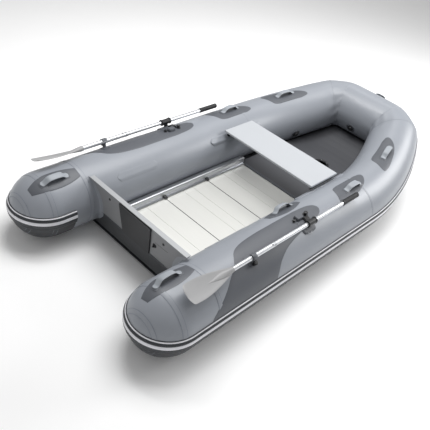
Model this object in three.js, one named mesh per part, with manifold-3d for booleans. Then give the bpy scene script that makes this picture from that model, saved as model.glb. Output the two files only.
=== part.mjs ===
// Inflatable dinghy with a slatted metal floor, a bench seat, a raked transom and two oars.
// Millimetres. +X points to the bow, +Y to port, +Z up.
// Stations (x) are measured from the tips of the stern cones; the finished group is
// centred on its own box at the end.
import * as THREE from 'three';
import Module from 'manifold-3d';

// Buoyancy tubes
const TUBE_R = 210;              // radius of the straight side tubes
const TUBE_Y = 565;              // half the spacing of the tube centrelines
const SKIN = 2;                  // thickness of the coated fabric
const CONE_LENGTH = 215;         // length of the domed stern end
const CONE_SEAM = 420;           // where the stern cone is joined to the side tube
const CURVE_START = 1950;        // where the side tube starts to turn inwards
const CORNER_X = 2978;           // corner of the centreline at the bow
const CORNER_Y = 291;
const CORNER_Z = 386;
const BOW_R = 191;               // radius of the tube at the bow
const CORNER_CUT = 75;           // length cut off each side of the bow corner
const SIDES = 24;                // facets round a tube
const GAP = 0.4;                 // clearance between neighbouring pieces

// Transom
const TRANSOM_TOP = 403;
const TRANSOM_X = 449;           // aft face at the top
const RAKE = 0.145;              // aft lean, run over rise
const TRANSOM_THICK = 27;
const TRANSOM_HALF = 437;
const SKIRT_TOP = 176;
const SKIRT_BOTTOM = 46;

// Floor
const FLOOR_TOP = 115;
const FLOOR_THICK = 6;
const FLOOR_HALF = 292;
const FLOOR_X = [522, 979, 1389, 1800];
const BOW_BOARD_END = 2868;

// Seat
const SEAT_X = 1634;
const SEAT_DEPTH = 306;
const SEAT_HALF = 408;
const SEAT_TOP = 403;
const SEAT_THICK = 14;

// Oars
const OAR_ANGLE = 114.3;         // where the oarlock stands round the tube, from inboard
const OAR_HEIGHT = 45;           // oar axis above the tube skin
const LOCK_X = 1262;
const SHAFT_R = 14.5;
const BLADE_TIP_X = 212;
const NECK_X = 540;
const SHAFT_JOINT_X = 912;
const GRIP_X = [1606, 1786];
const CLIP_X = 722;

const DEG = Math.PI / 180;
const wasm = await Module();
wasm.setup();

function vec(x, y, z) {
  return new THREE.Vector3(x, y, z);
}

// ---------- basic bodies ----------

// A closed body through a list of rings that all have the same number of points.
// With loop true the last ring joins the first, otherwise both ends are capped.
function loft(rings, loop = false) {
  const count = rings[0].length;
  const points = [];
  const index = [];
  for (const ring of rings) {
    for (const point of ring) points.push(point.x, point.y, point.z);
  }
  const spans = loop ? rings.length : rings.length - 1;
  for (let i = 0; i < spans; i++) {
    const here = i * count;
    const next = ((i + 1) % rings.length) * count;
    for (let j = 0; j < count; j++) {
      const k = (j + 1) % count;
      index.push(here + j, here + k, next + k);
      index.push(here + j, next + k, next + j);
    }
  }
  if (!loop) {
    const last = (rings.length - 1) * count;
    for (let j = 1; j < count - 1; j++) {
      index.push(0, j + 1, j);
      index.push(last, last + j, last + j + 1);
    }
  }
  return outward(points, index);
}

// Builds the geometry and turns its faces outwards if they point inwards.
function outward(points, index) {
  let volume = 0;
  const a = vec(0, 0, 0);
  const b = vec(0, 0, 0);
  const c = vec(0, 0, 0);
  for (let i = 0; i < index.length; i += 3) {
    a.fromArray(points, index[i] * 3);
    b.fromArray(points, index[i + 1] * 3);
    c.fromArray(points, index[i + 2] * 3);
    volume += a.dot(b.cross(c));
  }
  if (volume < 0) {
    for (let i = 0; i < index.length; i += 3) {
      const swap = index[i];
      index[i] = index[i + 1];
      index[i + 1] = swap;
    }
  }
  const geometry = new THREE.BufferGeometry();
  geometry.setAttribute('position', new THREE.Float32BufferAttribute(points, 3));
  geometry.setIndex(index);
  return geometry;
}

// A slab over a grid: place(u, v, side) gives the point on the lower (0) or upper (1) face.
function slab(place, nu, nv) {
  const points = [];
  const index = [];
  for (let side = 0; side < 2; side++) {
    for (let i = 0; i <= nu; i++) {
      for (let j = 0; j <= nv; j++) {
        const p = place(i / nu, j / nv, side);
        points.push(p.x, p.y, p.z);
      }
    }
  }
  const row = nv + 1;
  const upper = (nu + 1) * row;
  const quad = (p, q, r, s) => index.push(p, q, r, p, r, s);
  for (let i = 0; i < nu; i++) {
    for (let j = 0; j < nv; j++) {
      const k = i * row + j;
      quad(k, k + 1, k + row + 1, k + row);
      quad(upper + k, upper + k + row, upper + k + row + 1, upper + k + 1);
    }
  }
  for (let i = 0; i < nu; i++) {
    const low = i * row;
    const high = i * row + nv;
    quad(low, low + row, upper + low + row, upper + low);
    quad(high, upper + high, upper + high + row, high + row);
  }
  for (let j = 0; j < nv; j++) {
    const low = j;
    const high = nu * row + j;
    quad(low, upper + low, upper + low + 1, low + 1);
    quad(high, high + 1, upper + high + 1, upper + high);
  }
  return outward(points, index);
}

// A flat outline [[a, b], ...] extruded from one distance to another along an axis.
function prism(outline, axis, from, to) {
  const ring = (d) => outline.map(([a, b]) => {
    if (axis === 'x') return vec(d, a, b);
    if (axis === 'y') return vec(a, d, b);
    return vec(a, b, d);
  });
  const shape = new THREE.Shape(outline.map(([a, b]) => new THREE.Vector2(a, b)));
  const faces = THREE.ShapeUtils.triangulateShape(shape.getPoints(), []);
  const n = outline.length;
  const points = [];
  const index = [];
  for (const p of [...ring(from), ...ring(to)]) points.push(p.x, p.y, p.z);
  for (let j = 0; j < n; j++) {
    const k = (j + 1) % n;
    index.push(j, k, n + k, j, n + k, n + j);
  }
  const probe = new THREE.Vector2(...outline[0]);
  let area = 0;
  for (let j = 0; j < n; j++) {
    const [ax, ay] = outline[j];
    const [bx, by] = outline[(j + 1) % n];
    area += (ax - probe.x) * (by - probe.y) - (bx - probe.x) * (ay - probe.y);
  }
  for (const [a, b, c] of faces) {
    if (area > 0) index.push(a, c, b, n + a, n + b, n + c);
    else index.push(a, b, c, n + a, n + c, n + b);
  }
  return outward(points, index);
}

function box(x0, x1, y0, y1, z0, z1) {
  return prism([[x0, y0], [x1, y0], [x1, y1], [x0, y1]], 'z', z0, z1);
}

// A turned body: profile [[radius, height], ...] round an axis through a base point.
function turned(profile, base, axis, sides = 20) {
  const side = Math.abs(axis.z) < 0.9 ? vec(0, 0, 1) : vec(1, 0, 0);
  const a = side.clone().cross(axis).normalize();
  const b = axis.clone().cross(a).normalize();
  const rings = profile.map(([radius, height]) => {
    const ring = [];
    for (let j = 0; j < sides; j++) {
      const t = (2 * Math.PI * j) / sides;
      const p = base.clone().addScaledVector(axis, height);
      p.addScaledVector(a, radius * Math.cos(t)).addScaledVector(b, radius * Math.sin(t));
      ring.push(p);
    }
    return ring;
  });
  return loft(rings);
}

// Mirror to starboard.
function mirrored(geometry) {
  const copy = geometry.clone();
  const p = copy.attributes.position;
  for (let i = 0; i < p.count; i++) p.setY(i, -p.getY(i));
  const index = copy.index.array;
  for (let i = 0; i < index.length; i += 3) {
    const swap = index[i];
    index[i] = index[i + 1];
    index[i + 1] = swap;
  }
  return copy;
}

function toManifold(geometry) {
  const mesh = new wasm.Mesh({
    numProp: 3,
    vertProperties: new Float32Array(geometry.attributes.position.array),
    triVerts: new Uint32Array(geometry.index.array),
  });
  mesh.merge();
  return new wasm.Manifold(mesh);
}

function fromManifold(solid) {
  const mesh = solid.getMesh();
  const geometry = new THREE.BufferGeometry();
  const points = Array.from(mesh.vertProperties);
  geometry.setAttribute('position', new THREE.Float32BufferAttribute(points, 3));
  geometry.setIndex(Array.from(mesh.triVerts));
  return geometry;
}

function joined(first, ...others) {
  let solid = toManifold(first);
  for (const other of others) solid = solid.add(toManifold(other));
  return fromManifold(solid);
}

function cut(first, ...tools) {
  let solid = toManifold(first);
  for (const tool of tools) solid = solid.subtract(toManifold(tool));
  return fromManifold(solid);
}

// ---------- the tube's centreline, port side ----------

function curveAt(x) {
  const t = Math.max(0, (x - CURVE_START) / (CORNER_X - CURVE_START));
  return {
    c: vec(x, TUBE_Y - (TUBE_Y - CORNER_Y) * t ** 2.05, TUBE_R + (CORNER_Z - TUBE_R) * t ** 2.1),
    r: TUBE_R + (BOW_R - TUBE_R) * t ** 2.8,
  };
}

// Frame of a tube section: outboard (n), up (b), along (t) and the cutting plane's normal.
function section(c, r, t, plane = null) {
  const n = vec(-t.y, t.x, 0).normalize();
  const b = t.clone().cross(n).normalize();
  return { c, r, t, n, b, plane };
}

function station(x) {
  const here = curveAt(x);
  const t = curveAt(x + 1).c.sub(curveAt(x - 1).c).normalize();
  return section(here.c, here.r, t);
}

// A point at an angle round a section: 0 is outboard, 90 on top, 180 inboard.
function onTube(s, angle, height) {
  const a = angle * DEG;
  const p = s.c.clone();
  p.addScaledVector(s.n, (s.r + height) * Math.cos(a));
  p.addScaledVector(s.b, (s.r + height) * Math.sin(a));
  if (s.plane) {
    const away = p.clone().sub(s.c).dot(s.plane);
    p.addScaledVector(s.t, -away / s.t.dot(s.plane));
  }
  return p;
}

// A point on the skin, with x measured along it: past the shoulder it follows the domed end.
function onSkin(x, angle, height) {
  if (x >= CONE_LENGTH) return onTube(station(x), angle, height);
  const polar = Math.PI / 2 - (CONE_LENGTH - x) / TUBE_R;
  const along = CONE_LENGTH - (CONE_LENGTH + height) * Math.cos(polar);
  const ring = section(vec(along, TUBE_Y, TUBE_R), TUBE_R * Math.sin(polar), vec(1, 0, 0));
  return onTube(ring, angle, height * Math.sin(polar));
}

function ringOf(s, height) {
  const ring = [];
  for (let j = 0; j < SIDES; j++) ring.push(onTube(s, (360 * j) / SIDES, height));
  return ring;
}

// Sections of the bow corner: the end of the side tube and the start of the cross tube.
function cornerSections() {
  const corner = curveAt(CORNER_X).c;
  const along = curveAt(CORNER_X).c.sub(curveAt(CORNER_X - 2).c).normalize();
  const across = vec(0, -1, 0);
  const first = corner.clone().addScaledVector(along, -CORNER_CUT);
  const second = corner.clone().addScaledVector(across, CORNER_CUT);
  const between = second.clone().sub(first).normalize();
  const plane1 = along.clone().add(between).normalize();
  const plane2 = between.clone().add(across).normalize();
  return {
    sideEnd: section(first.clone().addScaledVector(along, -GAP), BOW_R, along, plane1),
    crossStart: section(first.clone().addScaledVector(between, GAP), BOW_R, between, plane1),
    crossTurn: section(second, BOW_R, across, plane2),
    middle: section(vec(CORNER_X, 0, CORNER_Z), BOW_R, across),
  };
}

function bowStations() {
  const list = [];
  for (const x of [CURVE_START + GAP, 2080, 2210, 2340, 2460, 2570, 2670, 2755, 2830]) {
    list.push(station(x));
  }
  list.push(cornerSections().sideEnd);
  return list;
}

function shell(sections) {
  const outer = sections.map((s) => ringOf(s, 0));
  const inner = sections.map((s) => ringOf(s, -SKIN)).reverse();
  return loft([...outer, ...inner], true);
}

// ---------- buoyancy tubes ----------

function sternCone() {
  const dome = (length, radius, from) => {
    const rings = [];
    for (const a of [2, 14, 28, 42, 56, 72, 90]) {
      const x = CONE_LENGTH - length * Math.cos(a * DEG);
      const s = section(vec(x, TUBE_Y, TUBE_R), radius * Math.sin(a * DEG), vec(1, 0, 0));
      rings.push(ringOf(s, 0));
    }
    const end = section(vec(CONE_SEAM - GAP, TUBE_Y, TUBE_R), radius, vec(1, 0, 0));
    rings.push(ringOf(end, 0));
    return from === 'tip' ? rings : rings.reverse();
  };
  const outer = dome(CONE_LENGTH, TUBE_R, 'tip');
  const inner = dome(CONE_LENGTH - SKIN, TUBE_R - SKIN, 'end');
  return loft([...outer, ...inner]);
}

function sideTube() {
  return shell([station(CONE_SEAM + GAP), station(CURVE_START - GAP)]);
}

function bowTube() {
  return shell(bowStations());
}

function crossTube() {
  const { crossStart, crossTurn, middle } = cornerSections();
  const half = [crossStart, crossTurn];
  const mirrorRing = (ring) => ring.map((p) => vec(p.x, -p.y, p.z));
  const rings = (height) => {
    const port = half.map((s) => ringOf(s, height));
    const starboard = port.map(mirrorRing).reverse();
    return [...port, ringOf(middle, height), ...starboard];
  };
  return loft([...rings(0), ...rings(-SKIN).reverse()], true);
}

// ---------- rubbing strake ----------

// Height of the strake's outside above the skin, across its width (-1 to 1).
function strakeHeight(v) {
  return Math.abs(v) < 0.95 ? 12 - 3 * v * v : 4;
}

function rubStrake() {
  const rows = [];
  const angles = [-11, -5.5, 0, 5.5, 11];
  const row = (place) => rows.push(place);
  for (const x of [300, CONE_LENGTH]) {
    row((a, h) => onTube(station(x), 180 - a, h));
  }
  for (const turn of [-75, -60, -45, -30, -15, 0, 15, 30, 45, 60, 75]) {
    row((a, lift) => {
      const h = lift + 2.6;
      const e = a * DEG;
      const t = turn * DEG;
      const x = CONE_LENGTH - (CONE_LENGTH + h) * Math.cos(t) * Math.cos(e);
      const y = TUBE_Y + (TUBE_R + h) * Math.sin(t) * Math.cos(e);
      return vec(x, y, TUBE_R + (TUBE_R + h) * Math.sin(e));
    });
  }
  for (const x of [CONE_LENGTH, CURVE_START]) row((a, h) => onTube(station(x), a, h));
  for (const s of bowStations().slice(1)) row((a, h) => onTube(s, a, h));
  const { crossTurn, middle } = cornerSections();
  row((a, h) => onTube(crossTurn, a, h));
  row((a, h) => {
    const p = onTube(middle, a, h);
    p.y = GAP;
    return p;
  });
  return slab((u, v, side) => {
    const place = rows[Math.round(u * (rows.length - 1))];
    const across = v * 2 - 1;
    return place(angles[Math.round(v * 4)], side ? strakeHeight(across) : 1.4);
  }, rows.length - 1, 4);
}

// ---------- transom ----------

function transomX(z) {
  return TRANSOM_X + RAKE * (TRANSOM_TOP - z);
}

// Half width between the tubes at a height, with a clearance to the skin.
function betweenTubes(z, clearance) {
  const reach = TUBE_R + clearance;
  const drop = z - TUBE_R;
  return Math.min(TRANSOM_HALF, TUBE_Y - Math.sqrt(reach * reach - drop * drop));
}

// A plate parallel to the transom between two heights, from one depth to another.
function transomPlate(z0, z1, near, far, halfWidth, rows) {
  return slab((u, v, side) => {
    const z = z0 + (z1 - z0) * v;
    const x = transomX(z) + (side ? far : near);
    return vec(x, (u * 2 - 1) * halfWidth(z), z);
  }, 2, rows);
}

function transomBoard() {
  return transomPlate(62, TRANSOM_TOP - 6, 0, TRANSOM_THICK, (z) => betweenTubes(z, 3), 10);
}

function transomCap() {
  const z0 = TRANSOM_TOP - 6 + GAP;
  return transomPlate(z0, TRANSOM_TOP, -3, TRANSOM_THICK + 3, () => TRANSOM_HALF, 1);
}

function outerPad() {
  const half = (z) => 122 + (21 * (z - SKIRT_TOP)) / 215;
  return transomPlate(SKIRT_TOP + 2, 392, -11, -GAP, half, 1);
}

function innerPad() {
  const half = () => 130;
  return transomPlate(215, 391, TRANSOM_THICK + GAP, TRANSOM_THICK + 5, half, 1);
}

function transomSkirt() {
  const half = (z) => betweenTubes(z, 7);
  return transomPlate(SKIRT_BOTTOM, SKIRT_TOP, -4, -GAP, half, 6);
}

// Curved holder that ties the transom's end to the tube.
function transomBracket() {
  const place = (u, v, side) => {
    const angle = 122 + 92 * u;
    const z = TUBE_R + TUBE_R * Math.sin(angle * DEG);
    const x = transomX(z) - 0.8 - 32 * (1 - v);
    return onTube(section(vec(x, TUBE_Y, TUBE_R), TUBE_R, vec(1, 0, 0)), angle, side ? 5 : 1.2);
  };
  return slab(place, 12, 1);
}

const PLUG_Y = -168;
const PLUG_Z = 278;

function rakedAxis() {
  return vec(-1, 0, -RAKE).normalize();
}

function drainPlug() {
  const base = vec(transomX(PLUG_Z), PLUG_Y, PLUG_Z);
  const profile = [[7, 0.6], [12, 0.6], [12, 5], [8, 6.5], [8, 15], [5, 17]];
  return turned(profile, base, rakedAxis(), 16);
}

// Black liner of a hole for a towing eye.
function towEyelet() {
  const base = vec(transomX(349), 245, 349);
  return turned([[8, 0.5], [8, 2], [5, 3]], base, rakedAxis(), 14);
}

// ---------- floor and bottom ----------

// A deck panel of three planks, marked off by two fine grooves.
function floorPanel(x0, x1) {
  const length = x1 - x0;
  const outline = [[x0, FLOOR_TOP - FLOOR_THICK], [x1, FLOOR_TOP - FLOOR_THICK], [x1, FLOOR_TOP]];
  for (const share of [0.63, 0.41]) {
    const g = x0 + length * (share - 0.01);
    outline.push([g + 1.2, FLOOR_TOP], [g + 0.8, FLOOR_TOP - 1.8]);
    outline.push([g - 0.8, FLOOR_TOP - 1.8], [g - 1.2, FLOOR_TOP]);
  }
  outline.push([x0, FLOOR_TOP]);
  return prism(outline, 'y', -FLOOR_HALF, FLOOR_HALF);
}

// Outline of a wall of even thickness that follows a path.
function wallOutline(path, thick) {
  const left = [];
  const right = [];
  path.forEach(([a, b], i) => {
    const before = path[Math.max(0, i - 1)];
    const after = path[Math.min(path.length - 1, i + 1)];
    const into = new THREE.Vector2(a - before[0], b - before[1]);
    const out = new THREE.Vector2(after[0] - a, after[1] - b);
    if (i === 0) into.copy(out);
    if (i === path.length - 1) out.copy(into);
    into.normalize();
    out.normalize();
    const along = into.clone().add(out).normalize();
    const reach = thick / 2 / along.dot(out);
    left.push([a - along.y * reach, b + along.x * reach]);
    right.push([a + along.y * reach, b - along.x * reach]);
  });
  return [...left, ...right.reverse()];
}

// Side rail: a channel for the panels' edges and a wing that leans on the tube.
function stringer() {
  const channel = [[283, 103.5], [299.5, 103.5], [299.5, 119.5], [291, 119.5], [284, 122.5]];
  const wing = [[299.5, 117], [297.5, 160], [300, 167], [306, 169], [350, 151], [360, 140]];
  const from = FLOOR_X[0] + 5;
  const to = FLOOR_X[3];
  return joined(
    prism(wallOutline(channel, 3), 'x', from, to),
    prism(wallOutline(wing, 3), 'x', from, to));
}

// Cross rail between the deck panels and the bow board.
function crossRail() {
  const x = FLOOR_X[3];
  const outline = [
    [x - 8, 116], [x + 2.5, 116], [x + 2.5, 106], [x - 8, 106], [x - 8, 103], [x + 18, 103],
    [x + 18, 106], [x + 7.5, 106], [x + 7.5, 116], [x + 18, 116], [x + 18, 119], [x - 8, 119],
  ];
  return prism(outline, 'y', -278, 278);
}

const BOARD_START = FLOOR_X[3] + 10;
const ACCESS_X = 2376;
const ACCESS_Y = -48;
const ACCESS_R = 56;
const KEEL_TOP = 98;

function bowBoardTop(x) {
  const rise = Math.max(0, x - 2450) / (BOW_BOARD_END - 2450);
  return 114 + 98 * rise * rise;
}

// Half width of the bow board where it meets the curved tubes.
function bowBoardHalf(x) {
  const s = curveAt(x);
  const slope = (curveAt(x + 1).c.y - curveAt(x - 1).c.y) / 2;
  const drop = bowBoardTop(x) - s.c.z;
  const chord = Math.sqrt((s.r + 8) ** 2 - drop * drop) * Math.hypot(1, slope);
  return Math.min(s.c.y - chord, 330);
}

function bowBoard() {
  const board = slab((u, v, side) => {
    const x = BOARD_START + (BOW_BOARD_END - BOARD_START) * u;
    const z = bowBoardTop(x) - (side ? 0 : 7.5);
    return vec(x, (v * 2 - 1) * bowBoardHalf(x), z);
  }, 16, 2);
  const hole = turned([[ACCESS_R, 60], [ACCESS_R, 160]], vec(ACCESS_X, ACCESS_Y, 0), vec(0, 0, 1), 24);
  return cut(board, hole);
}

// Trim ring round the access hole above the keel valve.
function accessRing() {
  const base = vec(ACCESS_X, ACCESS_Y, bowBoardTop(ACCESS_X) + GAP);
  const body = turned([[ACCESS_R + 13, 0], [ACCESS_R + 13, 4], [ACCESS_R + 9, 6]], base, vec(0, 0, 1), 24);
  const bore = turned([[ACCESS_R - 9, -5], [ACCESS_R - 9, 20]], base, vec(0, 0, 1), 24);
  return cut(body, bore);
}

function keelDrop(x) {
  const rise = Math.max(0, x - 1850) / 1000;
  return 176 * rise * rise;
}

// Bottom fabric, a shallow V from tube to tube.
function hullBottom() {
  const x0 = transomX(SKIRT_BOTTOM) + 2;
  return slab((u, v, side) => {
    const x = x0 + (2880 - x0) * u;
    const s = station(x);
    const across = v * 2 - 1;
    const edge = onTube(s, 244, 3.5);
    const middle = 6 + keelDrop(x) * 0.98;
    const z = middle + (edge.z - middle) * Math.abs(across) + (side ? 3 : 0);
    return vec(edge.x, edge.y * across, z);
  }, 16, 4);
}

// The keel tube fills the space between the bottom fabric and the deck.
function inflatableKeel() {
  const rings = [];
  for (const x of [560, 590, 1200, 1850, 2020, 2150, 2280, 2410, 2430]) {
    const end = x === 560 || x === 2430 ? 0.5 : 1;
    const low = 14 + keelDrop(x);
    const half = ((KEEL_TOP - low) / 2) * end;
    const ring = [];
    for (let j = 0; j < 14; j++) {
      const a = (j * 2 * Math.PI) / 14;
      ring.push(vec(x, 62 * end * Math.cos(a), (KEEL_TOP + low) / 2 + half * Math.sin(a)));
    }
    rings.push(ring);
  }
  return loft(rings);
}

function keelValve() {
  const base = vec(ACCESS_X, -22, KEEL_TOP + GAP);
  return turned([[22, 0], [22, 3], [15, 5], [15, 10]], base, vec(0, 0, 1), 16);
}

// ---------- seat ----------

// Hollow-backed metal plank with ribs underneath.
function seatBoard() {
  const low = SEAT_TOP - SEAT_THICK;
  const under = SEAT_TOP - 3;
  const outline = [[SEAT_X + 3, SEAT_TOP], [SEAT_X, SEAT_TOP - 3], [SEAT_X, low], [SEAT_X + 3, low]];
  outline.push([SEAT_X + 3, under]);
  for (const share of [0.33, 0.67]) {
    const x = SEAT_X + SEAT_DEPTH * share;
    outline.push([x - 1.5, under], [x - 1.5, low], [x + 1.5, low], [x + 1.5, under]);
  }
  const end = SEAT_X + SEAT_DEPTH;
  outline.push([end - 3, under], [end - 3, low], [end, low], [end, SEAT_TOP - 3]);
  outline.push([end - 3, SEAT_TOP]);
  return prism(outline, 'y', -SEAT_HALF, SEAT_HALF);
}

// Bracket under the seat's end, hooked over the track.
function seatBracket() {
  const top = SEAT_TOP - SEAT_THICK - GAP;
  const outline = [
    [352, top], [352, top - 5], [393, top - 5], [393, top - 24], [384, top - 31],
    [384, top - 36], [398, top - 28], [398, top],
  ];
  return prism(outline, 'x', SEAT_X + 22, SEAT_X + SEAT_DEPTH - 22);
}

// Strip bonded to the tube that the seat slides along.
function seatTrack() {
  return slab((u, v, side) => {
    const x = 1490 + 570 * u;
    const lip = [5, 5, 10, 5][Math.round(v * 3)];
    return onTube(station(x), 133 + 16 * v, side ? lip : 1.6);
  }, 8, 3);
}

// ---------- fittings on the tube ----------

// Share of its full height that a handle's strap has risen to, from end to end.
const ARCH = [0, 0, 0.8, 0.98, 1, 0.98, 0.8, 0, 0];

// A grab handle: a leaf-shaped base patch joined to an arched strap.
function handlePlace(x, angle) {
  return (along, across, height) => {
    const radius = station(Math.max(CONE_LENGTH, x + along)).r;
    return onSkin(x + along, angle + across / (radius * DEG), height);
  };
}

// Strap of a grab handle, arched over its patch.
function grabStrap(place) {
  return slab((u, v, side) => {
    const h = 4 + 34 * ARCH[Math.round(u * 8)];
    return place((u * 2 - 1) * 92, (v * 2 - 1) * 17, h + (side ? 6 : 0));
  }, 8, 1);
}

function grabHandle(x, angle, length) {
  const place = handlePlace(x, angle);
  const patch = slab((u, v, side) => {
    const width = 20 + 36 * (1 - Math.abs(u * 2 - 1) ** 2.2);
    return place((u * 2 - 1) * length * 0.5, (v * 2 - 1) * width, side ? 5 : 2);
  }, 8, 4);
  return joined(patch, grabStrap(place));
}

// Ends of a swept patch, as [across, along]: its outboard side runs further aft.
const SWEPT_AFT = [[-76, -205], [-40, -203], [0, -182], [40, -165], [66, -138], [76, -85]];
const SWEPT_FORE = [[-76, -120], [-62, -45], [-45, 50], [-20, 125], [20, 185], [52, 197],
  [70, 172], [76, 120]];

function sweptHandle(x, angle) {
  const place = handlePlace(x, angle);
  const patch = slab((u, v, side) => {
    const across = (v * 2 - 1) * 76;
    const aft = valueAt(SWEPT_AFT, across);
    const fore = valueAt(SWEPT_FORE, across);
    return place(aft + (fore - aft) * u, across, side ? 5 : 2);
  }, 6, 9);
  return joined(patch, grabStrap(place));
}

// Value at t of a line through points.
function valueAt(points, t) {
  for (let i = 1; i < points.length; i++) {
    const [[t0, a], [t1, b]] = [points[i - 1], points[i]];
    if (t <= t1) return a + ((b - a) * (t - t0)) / (t1 - t0);
  }
  return points[points.length - 1][1];
}

// Tow handle on the front of the bow tube.
function bowHandle() {
  const angle = 36;
  const at = (y, height, round) => {
    const s = section(vec(CORNER_X, y, CORNER_Z), BOW_R, vec(0, -1, 0));
    return onTube(s, angle + round / (BOW_R * DEG), height);
  };
  const patch = slab((u, v, side) => {
    const y = (u * 2 - 1) * 105;
    const width = 8 + 36 * (1 - Math.abs(u * 2 - 1) ** 2.2);
    return at(y, side ? 4 : 1.4, (v * 2 - 1) * width);
  }, 8, 4);
  const strap = slab((u, v, side) => {
    const h = 3 + 30 * ARCH[Math.round(u * 8)];
    return at((u * 2 - 1) * 80, h + (side ? 6 : 0), (v * 2 - 1) * 15);
  }, 8, 1);
  return joined(patch, strap);
}

function valveCap(base, axis) {
  const profile = [[27, 0], [27, 3], [22, 5], [22, 9], [18, 12]];
  return turned(profile, base, axis, 20);
}

const VALVE_X = 2490;
const VALVE_ANGLE = 199;

function sideValve() {
  const s = station(VALVE_X);
  const base = onTube(s, VALVE_ANGLE, 0.6);
  const axis = onTube(s, VALVE_ANGLE, 10).sub(onTube(s, VALVE_ANGLE, 0)).normalize();
  return valveCap(base, axis);
}

function bowValve() {
  const s = section(vec(CORNER_X, 10, CORNER_Z), BOW_R, vec(0, -1, 0));
  const base = onTube(s, 208, 0.6);
  const axis = onTube(s, 208, 10).sub(onTube(s, 208, 0)).normalize();
  return valveCap(base, axis);
}

// ---------- oars ----------

// Point at a station and radial height over the tube, on the oar's line.
// round moves it round the tube, positive towards the top.
function oarPoint(x, height, round = 0) {
  const a = (180 - OAR_ANGLE) * DEG;
  const up = vec(0, Math.cos(a), Math.sin(a));
  const inboard = vec(0, -Math.sin(a), Math.cos(a));
  const p = vec(x, TUBE_Y, TUBE_R).addScaledVector(up, TUBE_R + height);
  return p.addScaledVector(inboard, round);
}

// A length of hollow shaft, open at both ends.
function oarTube(x0, x1, radius) {
  const wall = 1.6;
  const bore = [[radius - wall, -5], [radius - wall, x1 - x0 + 5]];
  const body = turned([[radius, 0], [radius, x1 - x0]], oarPoint(x0, OAR_HEIGHT), vec(1, 0, 0), 14);
  return cut(body, turned(bore, oarPoint(x0, OAR_HEIGHT), vec(1, 0, 0), 14));
}

function oarBlade() {
  const width = (t) => 17 + 43 * Math.sin(Math.min(1, t * 1.25) * 90 * DEG);
  const blade = slab((u, v, side) => {
    const x = NECK_X - (NECK_X - BLADE_TIP_X) * u;
    const tip = u > 0.9 ? 1 - 0.28 * ((u - 0.9) / 0.1) ** 2 : 1;
    const across = (v * 2 - 1) * width(u) * tip;
    const cup = 9 * (v * 2 - 1) ** 2 * Math.sin(u * 90 * DEG);
    const curl = 16 * Math.max(0, (u - 0.35) / 0.65) ** 2;
    return oarPoint(x, OAR_HEIGHT + cup + curl - (side ? 0 : 5), across);
  }, 10, 4);
  const rib = turned(
    [[SHAFT_R + 2, 0], [SHAFT_R + 2, 16], [SHAFT_R + 3, 70], [12, 105], [6, 150], [2, 200]],
    oarPoint(SOCKET_X, OAR_HEIGHT - 1), vec(-1, 0, 0), 12);
  return joined(blade, rib);
}

const SOCKET_X = NECK_X + 16;    // where the blade's neck meets the lower shaft

function lowerShaft() {
  return oarTube(SOCKET_X + GAP, SHAFT_JOINT_X - GAP, SHAFT_R);
}

function upperShaft() {
  return oarTube(SHAFT_JOINT_X + GAP, GRIP_X[0] - GAP, SHAFT_R - 1.2);
}

function oarGrip() {
  const profile = [[16, 0], [17.5, 6], [16.5, 60], [17.5, 120], [17.5, 172], [13, 180]];
  return turned(profile, oarPoint(GRIP_X[0], OAR_HEIGHT), vec(1, 0, 0), 14);
}

// Sleeve on the shaft with the eye that turns on the oarlock pin.
function oarCollar() {
  const sleeve = turned(
    [[19, 0], [21, 3], [21, 77], [19, 80]],
    oarPoint(LOCK_X - 40, OAR_HEIGHT), vec(1, 0, 0), 16);
  const bore = turned(
    [[SHAFT_R - 0.8, -10], [SHAFT_R - 0.8, 100]],
    oarPoint(LOCK_X - 40, OAR_HEIGHT), vec(1, 0, 0), 16);
  const a = (180 - OAR_ANGLE) * DEG;
  const up = vec(0, Math.cos(a), Math.sin(a));
  const eye = turned([[15, -31], [15, -15]], oarPoint(LOCK_X, OAR_HEIGHT), up, 16);
  const hole = turned([[7.6, -40], [7.6, -20]], oarPoint(LOCK_X, OAR_HEIGHT), up, 16);
  return cut(joined(cut(sleeve, bore), eye), hole);
}

// Oarlock block bonded to the tube, with its standing pin.
function oarlockBase() {
  const pad = slab((u, v, side) => {
    const x = LOCK_X + (u * 2 - 1) * (v > 0.2 && v < 0.8 ? 62 : 50);
    const angle = (180 - OAR_ANGLE) + (v * 2 - 1) * 13;
    return onTube(station(x), angle, side ? 6 : GAP);
  }, 2, 6);
  const a = (180 - OAR_ANGLE) * DEG;
  const up = vec(0, Math.cos(a), Math.sin(a));
  const boss = turned([[17, -3], [15, 8]], oarPoint(LOCK_X, 5), up, 16);
  const pin = turned([[7, -3], [7, 16.5], [6, 18.5]], oarPoint(LOCK_X, 5), up, 16);
  return joined(pad, boss, pin);
}

// Clip that holds the stowed shaft; it opens outboard.
function oarClip() {
  const r = SHAFT_R + 1.2;
  const wall = 5;
  const inner = [];
  const outer = [];
  for (let k = 0; k <= 10; k++) {
    const t = (-78 + (k * 246) / 10) * DEG;
    inner.push([r * Math.sin(t) * -1, r * Math.cos(t)]);
    outer.push([(r + wall) * Math.sin(t) * -1, (r + wall) * Math.cos(t)]);
  }
  const outline = [...inner, ...outer.reverse()];
  const a = (180 - OAR_ANGLE) * DEG;
  const frame = ([side, rise], x) => {
    const up = vec(0, Math.cos(a), Math.sin(a)).multiplyScalar(rise);
    return oarPoint(x, OAR_HEIGHT, 0).add(up).add(vec(0, -Math.sin(a), Math.cos(a)).multiplyScalar(side));
  };
  return { outline, frame };
}

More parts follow.
